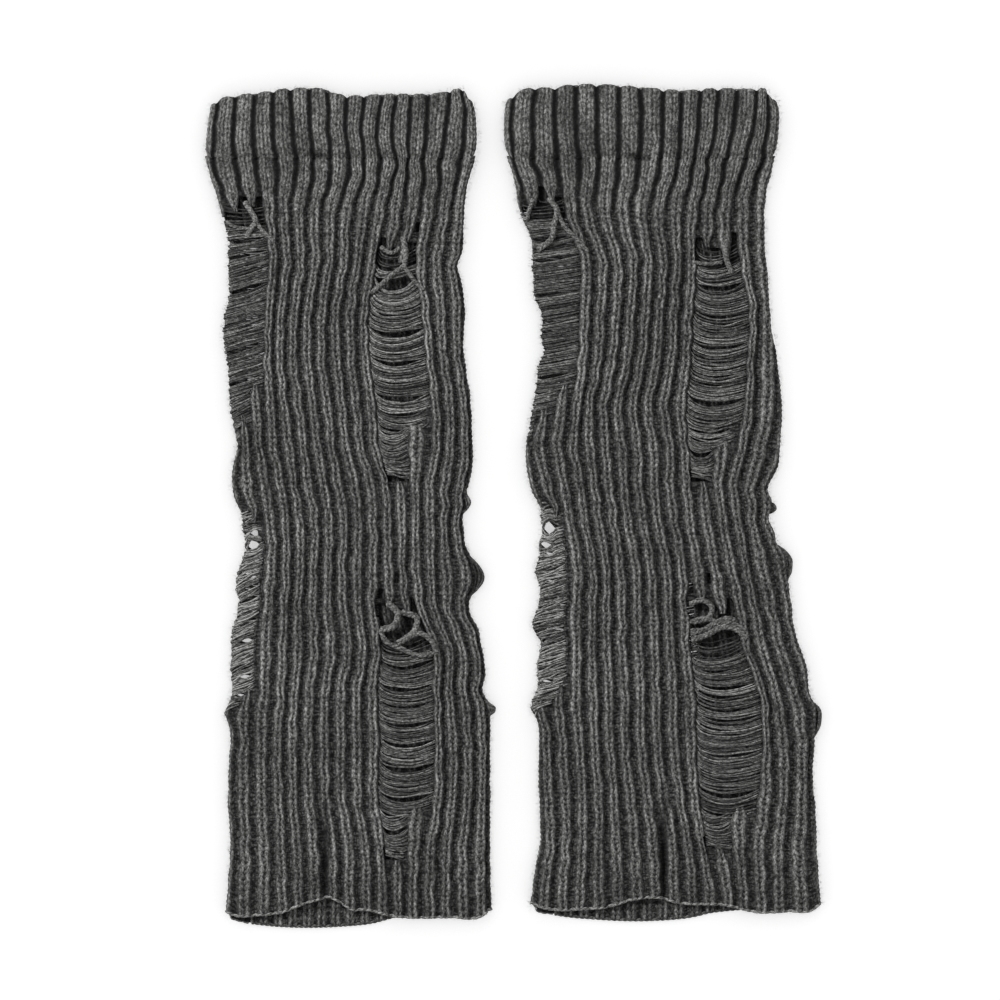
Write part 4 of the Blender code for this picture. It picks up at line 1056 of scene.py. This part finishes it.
def fuzz(leg):
    """Fine fibres that stand out all round the outline and make it soft."""
    random = leg.random(91)
    strands = []
    for _ in range(FIBRES):
        edge = random.uniform()
        along = random.uniform()
        y = HEM_Y + (leg.band_top(0.0) - 4.0 - HEM_Y) * along
        if edge < 0.4:
            x, way = leg.left(y) + 0.4, math.pi
        elif edge < 0.8:
            x, way = leg.right(y) - 0.4, 0.0
        elif edge < 0.9:
            x, way = leg.left(HEM_Y) + (leg.right(HEM_Y) - leg.left(HEM_Y)) * along, -math.pi / 2
            y = leg.front_hem(x) + 0.4
        else:
            x = leg.left(200.0) + 2.0 + (leg.right(200.0) - leg.left(200.0) - 4.0) * along
            y, way = leg.band_top(x) - 0.5, math.pi / 2
        way += random.normal(0.0, 0.8)
        length = np.array([0.0, random.uniform(0.9, 2.4)])
        height = random.uniform(2.0, 4.6) + np.array([0.0, random.uniform(-0.6, 0.6)])
        place = np.stack([x + length * math.cos(way), y + length * math.sin(way), height], axis=-1)
        strands.append((place, random.uniform(*FIBRE_RADII), 0.8))
    return strands


# ---------------------------------------------------------------- materials


class Value:
    """A value in a node tree: sums and products of it are nodes of the same tree."""

    def __init__(self, shader, socket):
        self.shader = shader
        self.socket = socket

    def __add__(self, other):
        return self.shader.math("ADD", self, other)

    def __sub__(self, other):
        return self.shader.math("SUBTRACT", self, other)

    def __rsub__(self, other):
        return self.shader.math("SUBTRACT", other, self)

    def __mul__(self, other):
        return self.shader.math("MULTIPLY", self, other)

    def __truediv__(self, other):
        return self.shader.math("DIVIDE", self, other)

    def __abs__(self):
        return self.shader.math("ABSOLUTE", self)

    def fract(self):
        """What follows the decimal point."""
        return self.shader.math("FRACT", self)

    def scaled(self, factor, offset):
        """The value times a factor, plus an offset."""
        return self.shader.math("MULTIPLY_ADD", self, factor, offset)


class Shader:
    """A material's node tree, with short ways to add nodes."""

    def __init__(self, name):
        self.material = bpy.data.materials.new(name)
        self.material.use_nodes = True
        self.tree = self.material.node_tree
        self.surface = self.tree.nodes["Principled BSDF"]

    def put(self, node, inputs):
        """Sets a node's inputs to constants, or links them to values of the tree."""
        for key, value in inputs.items():
            if isinstance(value, Value):
                self.tree.links.new(value.socket, node.inputs[key])
            else:
                node.inputs[key].default_value = value

    def node(self, kind, output, settings=(), **inputs):
        """Adds a node, and gives one of its outputs. An input's underscores stand for spaces."""
        node = self.tree.nodes.new(kind)
        for key, value in settings:
            setattr(node, key, value)
        self.put(node, {key.replace("_", " "): value for key, value in inputs.items()})
        return Value(self, node.outputs[output])

    def math(self, operation, *values):
        """The result of a sum or a function of these values."""
        node = self.tree.nodes.new("ShaderNodeMath")
        node.operation = operation
        self.put(node, dict(enumerate(values)))
        return Value(self, node.outputs[0])

    def step(self, value, low, high, start=0.0, end=1.0):
        """A smooth step from start to end while the value goes from low to high."""
        return self.node("ShaderNodeMapRange", 0, [("interpolation_type", "SMOOTHSTEP")],
                         Value=value, From_Min=low, From_Max=high, To_Min=start, To_Max=end)

    def noise(self, vector, scale, detail=2.0, roughness=0.5, output="Fac"):
        """Soft noise, about 0.5 on the whole."""
        return self.node("ShaderNodeTexNoise", output, Vector=vector, Scale=scale, Detail=detail,
                         Roughness=roughness)

    def vector(self, x, y):
        """A vector of these two, with z 0."""
        return self.node("ShaderNodeCombineXYZ", 0, X=x, Y=y)

    def parts(self, vector):
        """The x and y of a vector."""
        split = self.node("ShaderNodeSeparateXYZ", "X", Vector=vector)
        return split, Value(self, split.socket.node.outputs["Y"])

    def stitches(self):
        """The wale and the row that the mesh gives each place."""
        return self.parts(self.node("ShaderNodeUVMap", "UV", [("uv_map", "Stitches")]))

    def place(self):
        """Where on the object this is, in metres."""
        return self.node("ShaderNodeTexCoord", "Object")

    def attribute(self, name):
        """A value that the mesh gives each point."""
        return self.node("ShaderNodeAttribute", "Fac", [("attribute_name", name)])

    def bump(self, height, **inputs):
        """Lets a height show as relief on the surface."""
        self.put(self.surface, {"Normal": self.node("ShaderNodeBump", "Normal", Height=height, **inputs)})


def yarn_colour(s, brightness):
    """Sets the surface's colour from near black, the yarn's darkest and its painted shade, to light charcoal,
    and its plain dull look.
    """
    colour = s.node("ShaderNodeMix", "Result", [("data_type", "RGBA")], Factor=brightness,
                    A=(*DARK_YARN_AND_SHADE, 1.0), B=(*LIGHT_YARN, 1.0))
    s.put(s.surface, {"Base Color": colour, "Roughness": 0.95, "Specular IOR Level": 0.08,
                      "Sheen Weight": 0.03, "Sheen Roughness": 0.6})


def heather(s, place, stretch):
    """Light and dark fibres mixed in the yarn and drawn out along it, about 1 on the whole."""
    node = s.tree.nodes.new("ShaderNodeVectorMath")
    node.operation = "MULTIPLY"
    s.put(node, {0: place, 1: stretch})
    drawn = Value(s, node.outputs[0])
    fleck = s.step(s.noise(drawn, 950.0, 2.0, 0.7), 0.3, 0.72, 0.3, 1.8)
    fibre = s.step(s.noise(drawn, 2400.0, 1.0), 0.25, 0.75, 0.5, 1.5)
    cloud = s.noise(place, 45.0, 3.0).scaled(0.5, 0.75)
    return fleck * fibre * cloud


def stitch_height(s, across, from_middle, row, broad):
    """How far the yarn stands up: slanted stitches, one to a row, with dark holes beside them."""
    phase = across.scaled(0.6, row + 40.0).fract()
    bead = phase * (1.0 - phase) * 4.0
    line = s.step(across, 0.1, 0.95, 1.0, 0.0)
    leg = s.step(across, 0.5, 1.05, 1.0, 0.0) * s.step(across, 0.0, 0.5, 0.3, 1.0)
    stitch = line * (1.0 - broad) + leg * broad
    least = broad.scaled(0.25, 0.52)
    height = stitch.scaled(0.68, 0.32) * bead.scaled(1.0 - least, least)
    between = s.step(from_middle, 0.03, 0.11, 1.0, 0.0)
    inside = s.step(across, 0.05, 0.35, 1.0, 0.0) * broad
    dot = s.step(bead, 0.1, 0.75, broad.scaled(-0.45, 0.9), 0.0)
    return height * (1.0 - dot * s.math("MAXIMUM", between, inside))


def one_of_many(s, wale, row):
    """Uneven yarn: no two stitches are quite as light, nor two columns of them."""
    column = s.math("FLOOR", wale * 2.0)
    stitch = s.node("ShaderNodeTexWhiteNoise", "Value", [("noise_dimensions", "2D")],
                    Vector=s.vector(column, s.math("FLOOR", row)))
    slow = s.noise(s.vector(column * 5.3, row * 0.07), 1.0, 1.0)
    return s.step(slow, 0.3, 0.7, 0.72, 1.32) * stitch.scaled(0.36, 0.82)


def knit_material():
    """Charcoal heather knit: two columns of slanted stitches on each rib, and a rough dark valley between.

    broad goes from 0 on the leg's narrow ridges to 1 on the band's broad ones.
    """
    s = Shader("charcoal knit")
    place = s.place()
    wale, row = s.stitches()
    sway_x, sway_y = s.parts(s.noise(place, 420.0, output="Color"))
    wale = wale + sway_x.scaled(0.12, -0.06)
    row = row + sway_y.scaled(0.9, -0.45)
    ridge = s.attribute("ridge")
    broad = s.step(ridge, 0.345, 0.38)
    half = ridge * 0.5
    from_middle = abs(wale.fract() - 0.5)
    across = abs((from_middle - half) / half)
    height = stitch_height(s, across, from_middle, row, broad) * one_of_many(s, wale, row)
    purl = s.step(s.noise(s.vector(wale * 3.6, row * 2.4), 1.0), 0.4, 0.62, 0.15, 1.9)
    valley = s.step(from_middle - ridge, broad.scaled(0.06, -0.12), broad.scaled(0.03, 0.07))
    # The stitches' height is painted into the colour: raised yarn lighter and the holes beside it darker, as
    # painted light and shade.
    on_rib = height * broad.scaled(-0.03, 0.40) * (1.0 - valley)
    # The valley between ribs is dimmed to a faint purl texture and darkened further towards its middle:
    # painted shade.
    wobble = s.noise(place, 160.0).scaled(0.12, -0.06)
    valley_painted_shade = s.step(from_middle + wobble, broad.scaled(-0.2, 0.42), 0.5, 1.0, broad.scaled(-0.47, 0.5))
    brightness = (on_rib + purl * 0.085 * valley) * valley_painted_shade * s.attribute("shade")
    yarn_colour(s, brightness * heather(s, place, (1.0, 0.5, 1.0)))
    s.bump(height + s.noise(place, 1800.0) * 0.9, Strength=0.7, Distance=0.0005)
    return s.material


def thread_material():
    """The same yarn unravelled: faint twists along a thin thread."""
    s = Shader("charcoal threads")
    place = s.place()
    turn, along = s.stitches()
    twist = s.math("SINE", (along + turn * 0.7) * 16.0).scaled(0.06, 0.30)
    yarn_colour(s, twist * heather(s, place, (0.5, 1.0, 1.0)) * s.attribute("shade"))
    s.bump(s.noise(place, 2200.0), Strength=0.5, Distance=0.0004)
    return s.material


def floor_material():
    """A pale floor with a faint grain, which glows a little so that soft shade stays pale."""
    s = Shader("pale floor")
    s.put(s.surface, {"Base Color": (*PALE_FLOOR, 1.0), "Roughness": 0.9,
                      "Emission Color": (*WHITE, 1.0), "Emission Strength": FLOOR_GLOW})
    s.bump(s.noise(s.place(), 900.0), Strength=0.02)
    return s.material


# ---------------------------------------------------------------- stage


def stage(cloth):
    """The floor, the lights and the camera. The key light falls on the cloth alone."""
    bpy.ops.mesh.primitive_plane_add(size=FLOOR_SIZE, location=(0.0, 0.0, -FLOOR_BELOW))
    floor = bpy.context.active_object
    floor.name = "floor"
    floor.data.materials.append(floor_material())
    scene = bpy.context.scene
    scene.view_settings.view_transform = "Standard"
    world = bpy.data.worlds.new("studio")
    world.use_nodes = True
    background = world.node_tree.nodes["Background"]
    background.inputs["Color"].default_value = (*WHITE, 1.0)
    background.inputs["Strength"].default_value = WORLD_LIGHT
    scene.world = world
    light = bpy.data.lights.new("key", "AREA")
    light.energy = KEY_WATTS
    light.size = KEY_SIZE
    key = bpy.data.objects.new("key", light)
    key.location = KEY_PLACE
    key.rotation_euler = (-key.location).to_track_quat("-Z", "Y").to_euler()
    scene.collection.objects.link(key)
    key.light_linking.receiver_collection = cloth
    camera_data = bpy.data.cameras.new("camera")
    camera_data.lens = CAMERA_LENS
    camera_data.sensor_width = CAMERA_SENSOR
    camera = bpy.data.objects.new("camera", camera_data)
    camera.location = CAMERA_PLACE
    scene.collection.objects.link(camera)
    scene.camera = camera
    return floor


def corners(box):
    """A box's two corners as plain lists."""
    return [list(corner) for corner in box]


def dress(leg, knit, yarn):
    """One leg warmer: its three knitted pieces and the threads that go with them."""
    front = body_front(leg, knit)
    back = body_back(leg, knit)
    top_band = band(leg, knit)
    threads = [(f"ladder_{number + 1}", ladder_threads(leg, ladder, number), 4)
               for number, ladder in enumerate(leg.sizes["ladders"])]
    threads += [("loose_loops", loose_loops(leg), 5), ("hem_edge", hem_edge(leg), 4), ("fuzz", fuzz(leg), 3)]
    front_threads = [tubes(name, leg, strands, yarn, sides) for name, strands, sides in threads]
    back_ladders = tubes("back_ladders", leg, back_threads(leg), yarn, sides=3)
    bulges = tubes("edge_threads", leg, edge_bulges(leg), yarn, sides=4)
    pieces = (front, back, top_band, back_ladders, bulges, *front_threads)
    for piece in pieces:
        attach(piece, "root")
    return pieces


def main():
    """Dresses both legs on the floor."""
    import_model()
    knit = knit_material()
    yarn = thread_material()
    cloth = bpy.data.collections.new("lit by the key")
    floor = stage(cloth)
    for name, sizes in (("left", LEFT), ("right", RIGHT)):
        for piece in dress(Leg(name, sizes), knit, yarn):
            cloth.objects.link(piece)


main()
